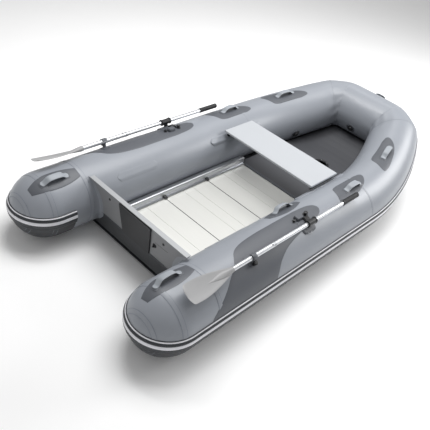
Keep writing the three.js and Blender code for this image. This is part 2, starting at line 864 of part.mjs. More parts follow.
function oarClipBody() {
  const { outline, frame } = oarClip();
  const x0 = CLIP_X - 17;
  const x1 = CLIP_X + 17;
  const half = outline.length / 2;
  const hook = slab((u, v, side) => {
    const k = Math.round(u * (half - 1));
    const point = side ? outline[outline.length - 1 - k] : outline[k];
    return frame(point, v ? x1 : x0);
  }, half - 1, 1);
  const foot = slab((u, v, side) => {
    const x = CLIP_X + (u * 2 - 1) * 26;
    return onTube(station(x), (180 - OAR_ANGLE) + (v * 2 - 1) * 8, side ? 6 : GAP);
  }, 1, 4);
  const a = (180 - OAR_ANGLE) * DEG;
  const up = vec(0, Math.cos(a), Math.sin(a));
  const stem = turned([[9, 3], [9, 28]], oarPoint(CLIP_X, 0), up, 12);
  return joined(hook, foot, stem);
}

// ---------- assembly ----------

const LOOKS = {
  tube: [0xa9aeb8, 0.45, 0],
  patch: [0x64676e, 0.6, 0],
  strake: [0x3a3d42, 0.6, 0],
  board: [0x7c7e82, 0.5, 0],
  light: [0xd0d2d2, 0.4, 0.2],
  pad: [0x3a3b3d, 0.6, 0],
  bottom: [0x3c3d40, 0.7, 0],
  aluminium: [0xd8dadb, 0.35, 0.9],
  seat: [0xe1e4e8, 0.4, 0.3],
  blade: [0xb5b6b8, 0.45, 0],
  black: [0x16171a, 0.5, 0],
  strap: [0xa7adb2, 0.5, 0],
};

function part(group, name, geometry, look) {
  const [color, roughness, metalness] = LOOKS[look];
  const flat = geometry.clone();
  flat.deleteAttribute('normal');
  flat.deleteAttribute('uv');
  flat.computeVertexNormals();
  const material = new THREE.MeshStandardMaterial({ color, roughness, metalness });
  const mesh = new THREE.Mesh(flat, material);
  mesh.name = name;
  group.add(mesh);
}

// The same piece on both sides of the boat.
function pair(group, name, geometry, look) {
  part(group, `port_${name}`, geometry, look);
  part(group, `starboard_${name}`, mirrored(geometry), look);
}

const boat = new THREE.Group();
boat.name = 'inflatable_dinghy';

pair(boat, 'stern_cone', sternCone(), 'tube');
pair(boat, 'side_tube', sideTube(), 'tube');
pair(boat, 'bow_tube', bowTube(), 'tube');
part(boat, 'bow_cross_tube', crossTube(), 'tube');
pair(boat, 'rub_strake', rubStrake(), 'strake');

part(boat, 'transom_board', transomBoard(), 'board');
part(boat, 'transom_cap', transomCap(), 'light');
part(boat, 'transom_outer_pad', outerPad(), 'pad');
part(boat, 'transom_inner_pad', innerPad(), 'pad');
part(boat, 'transom_skirt', transomSkirt(), 'bottom');
pair(boat, 'transom_bracket', transomBracket(), 'patch');
part(boat, 'drain_plug', drainPlug(), 'black');
pair(boat, 'tow_eyelet', towEyelet(), 'black');

part(boat, 'floor_panel_aft', floorPanel(FLOOR_X[0], FLOOR_X[1] - 1.5), 'aluminium');
part(boat, 'floor_panel_mid', floorPanel(FLOOR_X[1] + 1.5, FLOOR_X[2] - 1.5), 'aluminium');
part(boat, 'floor_panel_fwd', floorPanel(FLOOR_X[2] + 1.5, FLOOR_X[3]), 'aluminium');
part(boat, 'floor_cross_rail', crossRail(), 'light');
part(boat, 'bow_floor_board', bowBoard(), 'pad');
part(boat, 'access_ring', accessRing(), 'black');
pair(boat, 'stringer', stringer(), 'aluminium');
part(boat, 'hull_bottom', hullBottom(), 'bottom');
part(boat, 'inflatable_keel', inflatableKeel(), 'bottom');
part(boat, 'keel_valve', keelValve(), 'black');

part(boat, 'seat_board', seatBoard(), 'seat');
pair(boat, 'seat_bracket', seatBracket(), 'black');
pair(boat, 'seat_track', seatTrack(), 'patch');

pair(boat, 'handle_stern', grabHandle(243, 108, 345), 'patch');
pair(boat, 'handle_mid', sweptHandle(1864, 84), 'patch');
pair(boat, 'handle_bow', sweptHandle(2475, 90), 'patch');
part(boat, 'starboard_handle_inner', mirrored(grabHandle(1268, 122, 320)), 'patch');
part(boat, 'bow_handle', bowHandle(), 'patch');
pair(boat, 'valve_cap', sideValve(), 'black');
part(boat, 'bow_valve_cap', bowValve(), 'black');

pair(boat, 'oar_blade', oarBlade(), 'blade');
pair(boat, 'oar_lower_shaft', lowerShaft(), 'aluminium');
pair(boat, 'oar_upper_shaft', upperShaft(), 'aluminium');
pair(boat, 'oar_grip', oarGrip(), 'black');
pair(boat, 'oar_collar', oarCollar(), 'black');
pair(boat, 'oarlock_base', oarlockBase(), 'black');
pair(boat, 'oar_clip', oarClipBody(), 'black');

// Centre the length on the origin.
const bounds = new THREE.Box3().setFromObject(boat);
const middle = (bounds.min.x + bounds.max.x) / 2;
for (const mesh of boat.children) mesh.geometry.translate(-middle, 0, 0);

export default boat;
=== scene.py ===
"""Looks of an inflatable dinghy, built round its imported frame.

Metres. +X points to the bow, +Y to port, +Z up. A station s is the distance from the tip of
the stern cones. Angles round a tube start outboard (0), with 90 on top and 180 inboard.
"""

from collections import namedtuple
from math import cos, degrees, exp, hypot, pi, radians, sin, sqrt

import bmesh
import bpy
from mathutils import Matrix, Vector


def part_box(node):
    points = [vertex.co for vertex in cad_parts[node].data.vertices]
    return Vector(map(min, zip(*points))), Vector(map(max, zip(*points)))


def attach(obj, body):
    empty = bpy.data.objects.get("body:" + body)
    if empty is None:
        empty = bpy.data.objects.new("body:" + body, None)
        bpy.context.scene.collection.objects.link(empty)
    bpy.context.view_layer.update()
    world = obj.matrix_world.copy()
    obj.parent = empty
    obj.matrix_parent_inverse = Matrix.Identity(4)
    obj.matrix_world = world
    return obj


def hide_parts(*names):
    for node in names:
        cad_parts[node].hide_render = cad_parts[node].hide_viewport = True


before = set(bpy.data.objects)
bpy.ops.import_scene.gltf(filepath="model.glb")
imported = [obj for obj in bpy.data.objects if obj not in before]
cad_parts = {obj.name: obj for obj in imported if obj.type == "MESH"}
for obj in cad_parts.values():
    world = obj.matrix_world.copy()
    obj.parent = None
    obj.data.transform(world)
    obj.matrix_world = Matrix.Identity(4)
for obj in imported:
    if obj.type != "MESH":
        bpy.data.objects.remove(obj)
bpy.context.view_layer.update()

bl_info = {
    "name": "Inflatable dinghy",
    "version": (1, 0, 0),
    "blender": (4, 5, 0),
    "location": "3D View > Sidebar > Dinghy",
    "description": "Builds the fabric, fittings and finishes of an inflatable dinghy",
    "category": "Object",
}

# ---------- places taken from the frame ----------

CONE_LOW, CONE_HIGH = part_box("port_stern_cone")
SIDE_LOW, SIDE_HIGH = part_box("port_side_tube")
BOARD_LOW, BOARD_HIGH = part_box("transom_board")
PANEL_LOW, PANEL_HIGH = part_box("floor_panel_aft")
RAIL_LOW, RAIL_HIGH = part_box("port_stringer")
SEAT_LOW, SEAT_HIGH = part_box("seat_board")
BOW_BOARD_LOW, BOW_BOARD_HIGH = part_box("bow_floor_board")
RING_LOW, RING_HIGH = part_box("access_ring")

STERN = CONE_LOW.x                            # row-frame x of station 0
TUBE_R = (SIDE_HIGH.z - SIDE_LOW.z) / 2
TUBE_Y = (SIDE_HIGH.y + SIDE_LOW.y) / 2
SEAM_S = round(CONE_HIGH.x - STERN, 3)        # stern cone to side tube
CURVE_S = round(SIDE_HIGH.x - STERN, 3)       # side tube to bow tube
TRANSOM_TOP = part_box("transom_cap")[1].z
FLOOR_TOP = PANEL_HIGH.z

# ---------- sizes of the real one ----------

SHOULDER_S = 0.215       # where the stern dome ends
CORNER_S = 2.978         # bow corner of the centreline
CORNER_Y = 0.291
CORNER_Z = 0.386
BOW_R = 0.191
CORNER_CUT = 0.075       # length cut off each side of the bow corner
SKIRT_TOP = 0.176
SKIRT_LOW = 0.046
TRANSOM_S = 0.449        # aft face of the transom at its top
RAKE = 0.145             # aft lean of the transom, run over rise
OAR_ANGLE = 65.7         # where the oarlock stands on the tube
OAR_HEIGHT = 0.045       # oar axis above the skin
LOCK_S = 1.262
CLIP_S = 0.722
SHAFT_R = 0.0145
BLADE_TIP_S = 0.212
NECK_S = 0.540
SOCKET_S = 0.556
SHAFT_JOINT_S = 0.912
GRIP_S = (1.606, 1.786)
FLOOR_JOINTS = (0.979, 1.389)

CAMERA_PLACE = Vector((-2.9088, -1.8876, 2.4855))
CAMERA_YAW = 36.84       # heading of the view, from +X towards +Y
CAMERA_DROP = 37.52      # how far it looks down
CAMERA_ROLL = 12.66
CAMERA_LENS = 47.9       # on a 36 mm wide sensor
WORLD_LIGHT = 0.42
OVERHEAD_WATTS = 150
BOW_WATTS = 95
STRIP_WATTS = 30
FORE_WATTS = 10

SIDES = (("port", 1), ("starboard", -1))
UP = Vector((0, 0, 1))
JOINT_GAP = 0.0004       # between the skins of two air tubes
SINK = -0.0006           # how far a bonded sheet's underside lies in the skin
BOTTOM_END_S = 2.95      # where the bottom fabric meets the cross tube
KEEL_S = (0.560, 2.430)
KEEL_HALF = 0.062
KEEL_TOP = 0.098
GLUE_ANGLE = 244         # where the bottom fabric is glued to the tubes
TRACK_ANGLE = 141.2      # middle of the bench tracks
VALVE_S = 2.490
VALVE_ANGLE = 199
BOW_VALVE_Y = 0.010
BOW_VALVE_ANGLE = 208
BOW_HANDLE_ANGLE = 36
STRAP_REACH = 0.092      # half length of a grab handle's strap
KNOB_ANGLE = 58          # where the clip's knob stands on the tube

Section = namedtuple("Section", "centre radius along out up cut")


# ---------- shape of the tubes ----------

def section(centre, radius, along, cut=None):
    """A cross-section of a tube. cut is the normal of a slanting mitre plane."""
    out = Vector((-along.y, along.x, 0)).normalized()
    return Section(centre, radius, along, out, along.cross(out).normalized(), cut)


def tube_line(s):
    """Centre and radius of the port tube at a station."""
    t = max(0, (s - CURVE_S) / (CORNER_S - CURVE_S))
    y = TUBE_Y - (TUBE_Y - CORNER_Y) * t ** 2.05
    z = TUBE_R + (CORNER_Z - TUBE_R) * t ** 2.1
    return Vector((STERN + s, y, z)), TUBE_R + (BOW_R - TUBE_R) * t ** 2.8


def tube_section(s):
    step = 0.001
    along = (tube_line(s + step)[0] - tube_line(s - step)[0]).normalized()
    return section(*tube_line(s), along)


def on_tube(where, angle, height=0.0):
    """A point at an angle round a section and a height over the skin."""
    a = radians(angle)
    reach = where.radius + height
    point = where.centre + where.out * reach * cos(a) + where.up * reach * sin(a)
    if where.cut is not None:
        away = (point - where.centre).dot(where.cut)
        point -= where.along * away / where.along.dot(where.cut)
    return point


def outward(where, angle):
    """The direction straight out of the skin, 10 mm long."""
    return on_tube(where, angle, 0.01) - on_tube(where, angle)


def mirrored(point, sign=-1):
    """The point on the port side (1) or the starboard side (-1)."""
    return Vector((point.x, point.y * sign, point.z))


def on_skin(s, angle, height=0.0):
    """A point on the tube or, aft of the shoulder, on the stern dome. s runs along the skin."""
    if s >= SHOULDER_S:
        return on_tube(tube_section(s), angle, height)
    return on_dome(90 - degrees((SHOULDER_S - s) / SHOULDER_S), angle, height)


def on_dome(polar, angle, height=0.0):
    """A point on the stern dome: polar 0 is the tip and 90 the shoulder."""
    p, a = radians(polar), radians(angle)
    length, reach = SHOULDER_S + height, TUBE_R + height
    x = STERN + SHOULDER_S - length * cos(p)
    return Vector((x, TUBE_Y + reach * sin(p) * cos(a), TUBE_R + reach * sin(p) * sin(a)))


def corner_sections():
    """The two mitres of the port bow corner and the middle of the cross tube."""
    corner = tube_line(CORNER_S)[0]
    along = (corner - tube_line(CORNER_S - 0.002)[0]).normalized()
    across = Vector((0, -1, 0))
    first = corner - along * CORNER_CUT
    second = corner + across * CORNER_CUT
    between = (second - first).normalized()
    plane1 = (along + between).normalized()
    plane2 = (between + across).normalized()
    return {
        "side_end": section(first, BOW_R, along, plane1),
        "cross_start": section(first, BOW_R, between, plane1),
        "cross_turn": section(second, BOW_R, across, plane2),
        "middle": section(Vector((STERN + CORNER_S, 0, CORNER_Z)), BOW_R, across),
    }


def cross_section(y):
    return section(Vector((STERN + CORNER_S, y, CORNER_Z)), BOW_R, Vector((0, -1, 0)))


# ---------- mesh tools ----------

def new_piece(name, shape, finish, replaces=(), body="hull", sharp=32):
    """A mesh object of (points, faces) in one finish, that rides on a body."""
    points, faces = shape
    mesh = bpy.data.meshes.new(name)
    mesh.from_pydata([tuple(p) for p in points], [], faces)
    outward = bmesh.new()
    outward.from_mesh(mesh)
    bmesh.ops.recalc_face_normals(outward, faces=outward.faces)
    outward.to_mesh(mesh)
    outward.free()
    mesh.materials.append(finish_of(finish))
    mesh.shade_smooth()
    mesh.set_sharp_from_angle(angle=radians(sharp))
    made = bpy.data.objects.new(name, mesh)
    bpy.context.scene.collection.objects.link(made)
    if replaces:
        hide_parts(*replaces)
    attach(made, body)
    return made


def both_sides(name, shape, finish, slot, replaces=(), body="hull", sharp=32):
    """The piece to port and its mirror to starboard. A {side} in a name becomes the side."""
    points, faces = shape
    made = []
    for side, sign in SIDES:
        turned = [mirrored(p, sign) for p in points]
        stands_for = [node.format(side=side) for node in replaces]
        made.append(new_piece(f"{side}_{name}", (turned, faces), finish, stands_for,
                              body.format(side=side), sharp))
    return made


def sweep(rows, loop=False):
    """Points and faces of a closed body through rings of equal count."""
    count = len(rows[0])
    points = [p for row in rows for p in row]
    faces = []
    for i in range(len(rows) if loop else len(rows) - 1):
        here, there = i * count, ((i + 1) % len(rows)) * count
        for j in range(count):
            k = (j + 1) % count
            faces.append((here + j, here + k, there + k, there + j))
    if not loop:
        last = (len(rows) - 1) * count
        faces.append(tuple(range(count)))
        faces.append(tuple(last + j for j in reversed(range(count))))
    return points, faces


def plate(place, nu, nv, thick, low=0.0):
    """A bonded sheet: place(u, v, height) over u and v from -1 to 1, its rim rolled down."""
    rows = []
    for i in range(nu + 1):
        u = 2 * i / nu - 1
        under = [place(u, 2 * j / nv - 1, low) for j in range(nv + 1)]
        over = []
        for j in range(nv + 1):
            edge = j in (0, nv) or i in (0, nu)
            over.append(place(u, 2 * j / nv - 1, low + (thick - low) * (0.55 if edge else 1)))
        rows.append(under + over[::-1])
    return sweep(rows)


def lathe(profile, base, axis, steps=32, lobes=0, depth=0.0):
    """A turned body: profile [(radius, height)]. lobes cut finger grips into its widest part."""
    axis = axis.normalized()
    side = UP if abs(axis.z) < 0.9 else Vector((1, 0, 0))
    first = side.cross(axis).normalized()
    second = axis.cross(first)
    widest = max(radius for radius, _ in profile)
    rows = []
    for radius, height in profile:
        ring = []
        for j in range(steps):
            t = 2 * pi * j / steps
            reach = radius
            if lobes and radius > 0.8 * widest:
                reach -= depth * (0.5 - 0.5 * cos(lobes * t))
            ring.append(base + axis * height + (first * cos(t) + second * sin(t)) * reach)
        rows.append(ring)
    return sweep(rows)


def smooth_through(pairs, t):
    """Value at t of a smooth curve through [(t, value)]."""
    if t <= pairs[0][0]:
        return pairs[0][1]
    for i in range(len(pairs) - 1):
        (t0, a), (t1, b) = pairs[i], pairs[i + 1]
        if t <= t1:
            before = pairs[max(0, i - 1)]
            after = pairs[min(len(pairs) - 1, i + 2)]
            slope0 = (b - before[1]) / (t1 - before[0])
            slope1 = (after[1] - a) / (after[0] - t0)
            w, span = (t - t0) / (t1 - t0), t1 - t0
            return ((2 * w ** 3 - 3 * w ** 2 + 1) * a + (w ** 3 - 2 * w ** 2 + w) * slope0 * span
                    + (3 * w ** 2 - 2 * w ** 3) * b + (w ** 3 - w ** 2) * slope1 * span)
    return pairs[-1][1]


def joined(*bodies):
    """Several (points, faces) bodies as one."""
    points, faces = [], []
    for more_points, more_faces in bodies:
        start = len(points)
        points += more_points
        faces += [tuple(start + k for k in face) for face in more_faces]
    return points, faces


def keep_node(name, material, bevel=0.0008, sharp=32):
    """Gives a CAD node its finish and a machined edge."""
    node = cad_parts[name]
    node.data.materials.clear()
    node.data.materials.append(material)
    node.data.shade_smooth()
    node.data.set_sharp_from_angle(angle=radians(sharp))
    if bevel:
        edge = node.modifiers.new("edge", "BEVEL")
        edge.width = bevel
        edge.segments = 2
        edge.angle_limit = radians(40)
        edge.harden_normals = True
        edge.use_clamp_overlap = True
    return node


# ---------- materials ----------

def linear(code):
    """A colour given as sRGB hex, turned to linear."""
    parts = [int(code[i:i + 2], 16) / 255 for i in (1, 3, 5)]
    return [c / 12.92 if c <= 0.04045 else ((c + 0.055) / 1.055) ** 2.4 for c in parts]


class Finish:
    """A material in the making, with object coordinates in metres."""

    def __init__(self, name, **shader):
        self.material = bpy.data.materials.new(name)
        self.material.use_nodes = True
        self.tree = self.material.node_tree
        self.tree.nodes.clear()
        self.place = self.node("TexCoord").outputs["Object"]
        self.bsdf = self.node("BsdfPrincipled",
                              {key.replace("_", " "): value for key, value in shader.items()})
        self.node("OutputMaterial", {"Surface": self.bsdf.outputs["BSDF"]})

    def node(self, kind, inputs=None, **settings):
        """Adds a node with its settings. Inputs are values, or sockets to link."""
        made = self.tree.nodes.new("ShaderNode" + kind)
        for name, value in settings.items():
            setattr(made, name, value)
        for name, value in (inputs or {}).items():
            socket = made.inputs[name]
            if isinstance(value, bpy.types.NodeSocket):
                self.tree.links.new(value, socket)
            else:
                socket.default_value = value
        return made

    def noise(self, size, detail=3.0, place=None):
        """Noise whose patches are about a size in metres across."""
        where = self.place if place is None else place
        inputs = {"Vector": where, "Scale": 1 / size, "Detail": detail}
        return self.node("TexNoise", inputs).outputs["Fac"]

    def stretched(self, **settings):
        """Object coordinates turned or scaled by a mapping."""
        return self.node("Mapping", {"Vector": self.place, **settings}).outputs["Vector"]

    def bump(self, height, depth, strength, below=None):
        inputs = {"Height": height, "Distance": depth, "Strength": strength}
        if below is not None:
            inputs["Normal"] = below
        return self.node("Bump", inputs).outputs["Normal"]

    def tint(self, factor, colour, low, high):
        """The colour, whose brightness runs from low to high times its own with a factor."""
        ramp = self.node("ValToRGB", {"Fac": factor})
        for element, share in zip(ramp.color_ramp.elements, (low, high)):
            element.color = [min(1, c * share) for c in colour] + [1]
        self.tree.links.new(ramp.outputs["Color"], self.bsdf.inputs["Base Color"])

    def gloss(self, factor, low, high):
        """The roughness, which runs from low to high with a factor."""
        range_node = self.node("MapRange", {"Value": factor, "To Min": low, "To Max": high})
        self.tree.links.new(range_node.outputs["Result"], self.bsdf.inputs["Roughness"])

    def relief(self, *bump):
        self.tree.links.new(self.bump(*bump), self.bsdf.inputs["Normal"])


def calendered_pvc_fabric(name, colour, rough=0.36):
    """Polyester cloth coated with rolled PVC: a satin skin through which the cloth's threads
    barely show, with slow waves where the air pressure pulls it unevenly."""
    made = Finish(name, IOR=1.53)
    made.tint(made.noise(0.3, 2), colour, 0.93, 1.06)
    made.gloss(made.noise(0.012), rough - 0.05, rough + 0.06)
    # The threads are 1 mm apart; they are drawn 4 mm apart, as fine as shows.
    turned = made.stretched(Rotation=(0.6, 0.5, 0.8))
    threads = made.node("TexWave", {"Vector": turned, "Scale": 1 / 0.004 / 20},
                        bands_direction="DIAGONAL")
    skin = made.bump(threads.outputs["Fac"], 0.0002, 0.08)
    made.relief(made.noise(0.16, 1), 0.004, 0.25, skin)
    return made.material


def extruded_rubber(name, colour, rough=0.5):
    """EPDM pushed through a die: matt, with drawn lines and light scuffs."""
    made = Finish(name, IOR=1.52)
    scuffs = made.noise(0.035, 6)
    made.tint(scuffs, colour, 0.86, 1.12)
    made.gloss(scuffs, rough - 0.08, rough + 0.1)
    made.relief(made.noise(0.003), 0.0002, 0.3)
    return made.material


def moulded_plastic(name, colour, rough=0.4, grain=0.002):
    """Injection-moulded nylon, ABS or polypropylene: an even eroded grain and soft gloss."""
    made = Finish(name, IOR=1.49)
    made.tint(made.noise(0.06, 2), colour, 0.94, 1.05)
    grains = made.noise(grain, 2)
    made.gloss(grains, rough - 0.05, rough + 0.07)
    made.relief(grains, 0.00015, 0.35)
    return made.material


def brushed_aluminium(name, colour, rough, along, metallic=1.0, depth=0.15):
    """Anodised aluminium brushed one way: long faint scratches that stretch the shine."""
    made = Finish(name, Metallic=metallic)
    drawn = made.stretched(Scale=[1.0 if axis == along else 60.0 for axis in "xyz"])
    # The brush marks are 0.1 mm wide; they are drawn 3 mm wide, as fine as shows.
    marks = made.noise(0.18, 4, drawn)
    made.tint(marks, colour, 0.95, 1.04)
    made.gloss(marks, rough - 0.06, rough + 0.08)
    made.relief(marks, 0.0001, depth)
    return made.material


def powder_coated_aluminium(name, colour, rough=0.38):
    """Baked powder coat: a fine orange peel 2 mm across under an even satin."""
    made = Finish(name, IOR=1.5)
    made.tint(made.noise(0.2, 2), colour, 0.97, 1.02)
    peel = made.noise(0.002, 2)
    made.gloss(peel, rough - 0.03, rough + 0.05)
    made.relief(peel, 0.0001, 0.25)
    return made.material


def painted_plywood(name, colour, rough=0.42):
    """Plywood under sprayed polyurethane: the veneer's long grain just lifts the paint."""
    made = Finish(name, IOR=1.5)
    grain = made.noise(0.25, 5, made.stretched(Scale=(40.0, 1.0, 40.0)))
    made.tint(grain, colour, 0.95, 1.05)
    made.gloss(made.noise(0.004, 2), rough - 0.04, rough + 0.08)
    made.relief(grain, 0.0003, 0.25)
    return made.material


def matt_paper(name, colour):
    """Seamless studio paper: fully matt, with a faint pulp texture."""
    made = Finish(name, Roughness=0.9)
    made.tint(made.noise(0.4, 2), colour, 0.99, 1.01)
    return made.material


MAKERS = {
    "tube_fabric": lambda c: calendered_pvc_fabric("pvc_fabric_light_grey", c.tube),
    "patch_fabric": lambda c: calendered_pvc_fabric("pvc_fabric_dark_grey", c.patch, 0.44),
    "bottom_fabric": lambda c: calendered_pvc_fabric("pvc_fabric_charcoal", c.bottom, 0.55),
    # Painted shade: the beads along the seam tapes' edges get a darker grey that stands in for the shade
    # at those edges.
    "seam_edge_painted_shade": lambda c: extruded_rubber("grey_painted_seam_shade", c.seam, 0.6),
    "strake_rubber": lambda c: extruded_rubber("extruded_rubber_charcoal", c.strake),
    "stripe_rubber": lambda c: extruded_rubber("extruded_rubber_white", c.stripe, 0.42),
    "transom_paint": lambda c: painted_plywood("painted_plywood_grey", c.transom),
    "cap_metal": lambda c: brushed_aluminium("brushed_aluminium_cap", c.cap, 0.45, "y", 0.3),
    "pad_plastic": lambda c: moulded_plastic("moulded_polypropylene_pad", c.pad, 0.55, 0.003),
    "black_nylon": lambda c: moulded_plastic("moulded_nylon_black", c.black, 0.38),
    "grey_nylon": lambda c: moulded_plastic("moulded_nylon_grey", c.patch, 0.45),
    "deck_metal": lambda c: brushed_aluminium("anodised_aluminium_deck", c.deck, 0.42, "y", 0.45),
    "rail_metal": lambda c: brushed_aluminium("extruded_aluminium_rail", c.rail, 0.36, "x", 0.9, 0.03),
    "shaft_metal": lambda c: brushed_aluminium("anodised_aluminium_tube", c.metal, 0.32, "x", 1.0, 0.02),
    "seat_coat": lambda c: powder_coated_aluminium("powder_coat_pale_grey", c.seat),
    "bow_board": lambda c: painted_plywood("laminate_on_plywood_charcoal", c.bow_board, 0.5),
    "blade_plastic": lambda c: moulded_plastic("moulded_polypropylene_blade", c.blade, 0.36, 0.004),
    "painted_metal": lambda c: powder_coated_aluminium("powder_coat_dark_grey", c.patch, 0.5),
    "strap_rubber": lambda c: moulded_plastic("moulded_rubber_light_grey", c.strap, 0.46, 0.003),
    "grip_rubber": lambda c: moulded_plastic("moulded_rubber_black", c.black, 0.55, 0.003),
    "paper": lambda c: matt_paper("studio_paper_white", c.floor),
}
_made = {}


def finish_of(name):
    """The finish of that name, made once."""
    if name not in _made:
        _made[name] = MAKERS[name](bpy.context.scene.dinghy_colours)
    return _made[name]


# ---------- sizes and colours that a user would change ----------

def length(name, default, description):
    return bpy.props.FloatProperty(name=name, default=default, description=description,
                                   unit="LENGTH", subtype="DISTANCE", min=0.0, precision=4)


def colour(name, code, description):
    return bpy.props.FloatVectorProperty(name=name, default=linear(code), subtype="COLOR",
                                         size=3, min=0.0, max=1.0, description=description)


class DinghySizes(bpy.types.PropertyGroup):
    """Sizes of the bonded and moulded pieces."""

    facets: bpy.props.IntProperty(name="Tube facets", default=96, min=24, max=192,
                                  description="Facets round an air tube")
    patch: length("Patch thickness", 0.0016, "Thickness of a bonded fabric patch")
    tape: length("Seam tape width", 0.026, "Width of the tape over a seam")
    strap_width: length("Strap width", 0.036, "Width of a grab handle's strap")
    strap_rise: length("Strap rise", 0.028, "How far a strap stands clear of its patch")
    strap_thick: length("Strap thickness", 0.0065, "Thickness of a grab handle's strap")
    edge: length("Metal edge", 0.0012, "Rounding of sheet metal edges")


class DinghyColours(bpy.types.PropertyGroup):
    """Base colours of the finishes."""

    tube: colour("Tube", "#8F939A", "Light grey of the air tubes")
    patch: colour("Patches", "#54575D", "Dark grey of the bonded patches and side panels")
    bottom: colour("Bottom", "#37393C", "Charcoal of the bottom fabric and skirt")
    # Painted shade: this darker grey goes on the beads along the seam tapes' edges and stands in for the
    # shade there.
    seam: colour("Seams", "#7C818B", "Adhesive along the seam tapes")
    strake: colour("Strake", "#33363A", "Charcoal of the rubbing strake")
    stripe: colour("Stripes", "#DFDFE4", "Light stripes in the strake")
    transom: colour("Transom", "#868789", "Paint of the transom board")
    pad: colour("Pad", "#303133", "Motor pad")
    metal: colour("Metal", "#D8DADD", "Bare aluminium")
    rail: colour("Rails", "#B9BBBE", "Aluminium of the side rails")
    cap: colour("Cap", "#A8AAAC", "Cap of the transom")
    deck: colour("Deck", "#D6D6D2", "Anodised deck planks")
    seat: colour("Seat", "#B4B7BB", "Powder coat of the bench")
    bow_board: colour("Bow board", "#46474B", "Laminate of the bow board")
    blade: colour("Blade", "#9A9A9B", "Oar blades")
    strap: colour("Straps", "#979CA2", "Grab handle straps")
    black: colour("Mouldings", "#141518", "Black mouldings")
    floor: colour("Paper", "#FDFDFD", "Studio floor")


class Group:
    """What every operator does: it builds its group of pieces from the panel's sizes."""

    def execute(self, context):
        self.make(context.scene.dinghy_sizes)
        return {"FINISHED"}


# ---------- air tubes ----------

def ring(where, count, height=0.0):
    return [on_tube(where, 360 * j / count, height) for j in range(count)]


def pucker(angle, distance):
    """Gathers of the fabric inboard of a bow mitre, which fade away from it."""
    inboard = max(0.0, -cos(radians(angle)))
    return 0.0022 * inboard * exp(-distance / 0.07) * cos(radians(angle * 14))


def bow_rows(profile):
    """Rows of (angle, height) points along the port bow tube and half the cross tube, and the
    number of the row at the first mitre. The outside of each mitre is rounded off."""
    corner = corner_sections()
    first, second = corner["side_end"], corner["cross_turn"]
    end_s = CORNER_S - CORNER_CUT - 0.09
    rows = []
    for i in range(57):
        s = CURVE_S + JOINT_GAP + (end_s - CURVE_S - JOINT_GAP) * i / 56
        where = tube_section(s)
        rows.append([on_tube(where, a, h + pucker(a, end_s - s + 0.09)) for a, h in profile])
    last = rows[-1]
    mitre = [on_tube(first, a, h + pucker(a, 0.0)) for a, h in profile]
    turn = [on_tube(second, a, h + pucker(a, 0.0)) for a, h in profile]
    rows += [[a.lerp(b, k / 6) for a, b in zip(last, mitre)] for k in range(1, 6)]
    split = len(rows)
    rows += [[a.lerp(b, k / 8) for a, b in zip(mitre, turn)] for k in range(8)]
    span = second.centre.y
    bend = len(rows)
    for i in range(13):
        where = cross_section(span * (1 - i / 12))
        if i == 0:
            rows.append(turn)
        else:
            flat = [on_tube(where, a, h + pucker(a, span * i / 12)) for a, h in profile]
            rows.append([p if p.y < q.y else Vector((p.x, q.y - 0.0004 * i, p.z))
                         for p, q in zip(flat, rows[-1])])
    for _ in range(6):
        moved = [row[:] for row in rows]
        for i in range(1, len(rows) - 1):
            near = min(abs(i - split), abs(i - bend))
            if near > 6:
                continue
            for j, (a, _) in enumerate(profile):
                outside = min(1.0, max(0.0, 0.55 + 0.75 * cos(radians(a - 20))))
                share = 0.5 * outside * (1 - near / 7)
                middle = (rows[i - 1][j] + rows[i + 1][j]) / 2
                moved[i][j] = rows[i][j].lerp(middle, share)
        rows = moved
    return rows, split


class DINGHY_OT_tubes(Group, bpy.types.Operator):
    """Air tubes: domed stern cones, side tubes, bow tubes and the bow cross tube"""

    bl_idname = "dinghy.tubes"
    bl_label = "Air tubes"

    def make(self, sizes):
        count = sizes.facets
        angles = [360 * j / count for j in range(count)]
        dome = [[on_dome(polar, a) for a in angles] for polar in [1.5] + list(range(4, 91, 4))]
        dome += [ring(tube_section(s), count) for s in (SHOULDER_S + 0.01, 0.3, SEAM_S - JOINT_GAP)]
        both_sides("stern_cone_skin", sweep(dome), "tube_fabric", "tube_fabric",
                   ["{side}_stern_cone"], sharp=40)
        span = CURVE_S - SEAM_S - 2 * JOINT_GAP
        stations = [SEAM_S + JOINT_GAP + span * i / 16 for i in range(17)]
        both_sides("side_tube_skin", sweep([ring(tube_section(s), count) for s in stations]),
                   "tube_fabric", "tube_fabric", ["{side}_side_tube"], sharp=40)
        rows, split = bow_rows([(a, 0.0) for a in angles])
        both_sides("bow_tube_skin", sweep(rows[:split + 1]), "tube_fabric", "tube_fabric",
                   ["{side}_bow_tube"], sharp=40)
        half = rows[split:]
        other = [[mirrored(p) for p in row] for row in reversed(half[:-1])]
        new_piece("bow_cross_tube_skin", sweep(half + other), "tube_fabric",
                  ["bow_cross_tube"], sharp=40)


# ---------- bonded fabric ----------

def hoop(point_at, half, thick, angles):
    """A thin band round the tube: point_at(offset, angle, height)."""
    profile = [(-half, SINK), (half, SINK), (half, thick * 0.6), (half - 0.002, thick),
               (2 * half / 3, thick), (-half + 0.002, thick), (-half, thick * 0.6)]
    return sweep([[point_at(d, a, h) for d, h in profile] for a in angles], loop=True)


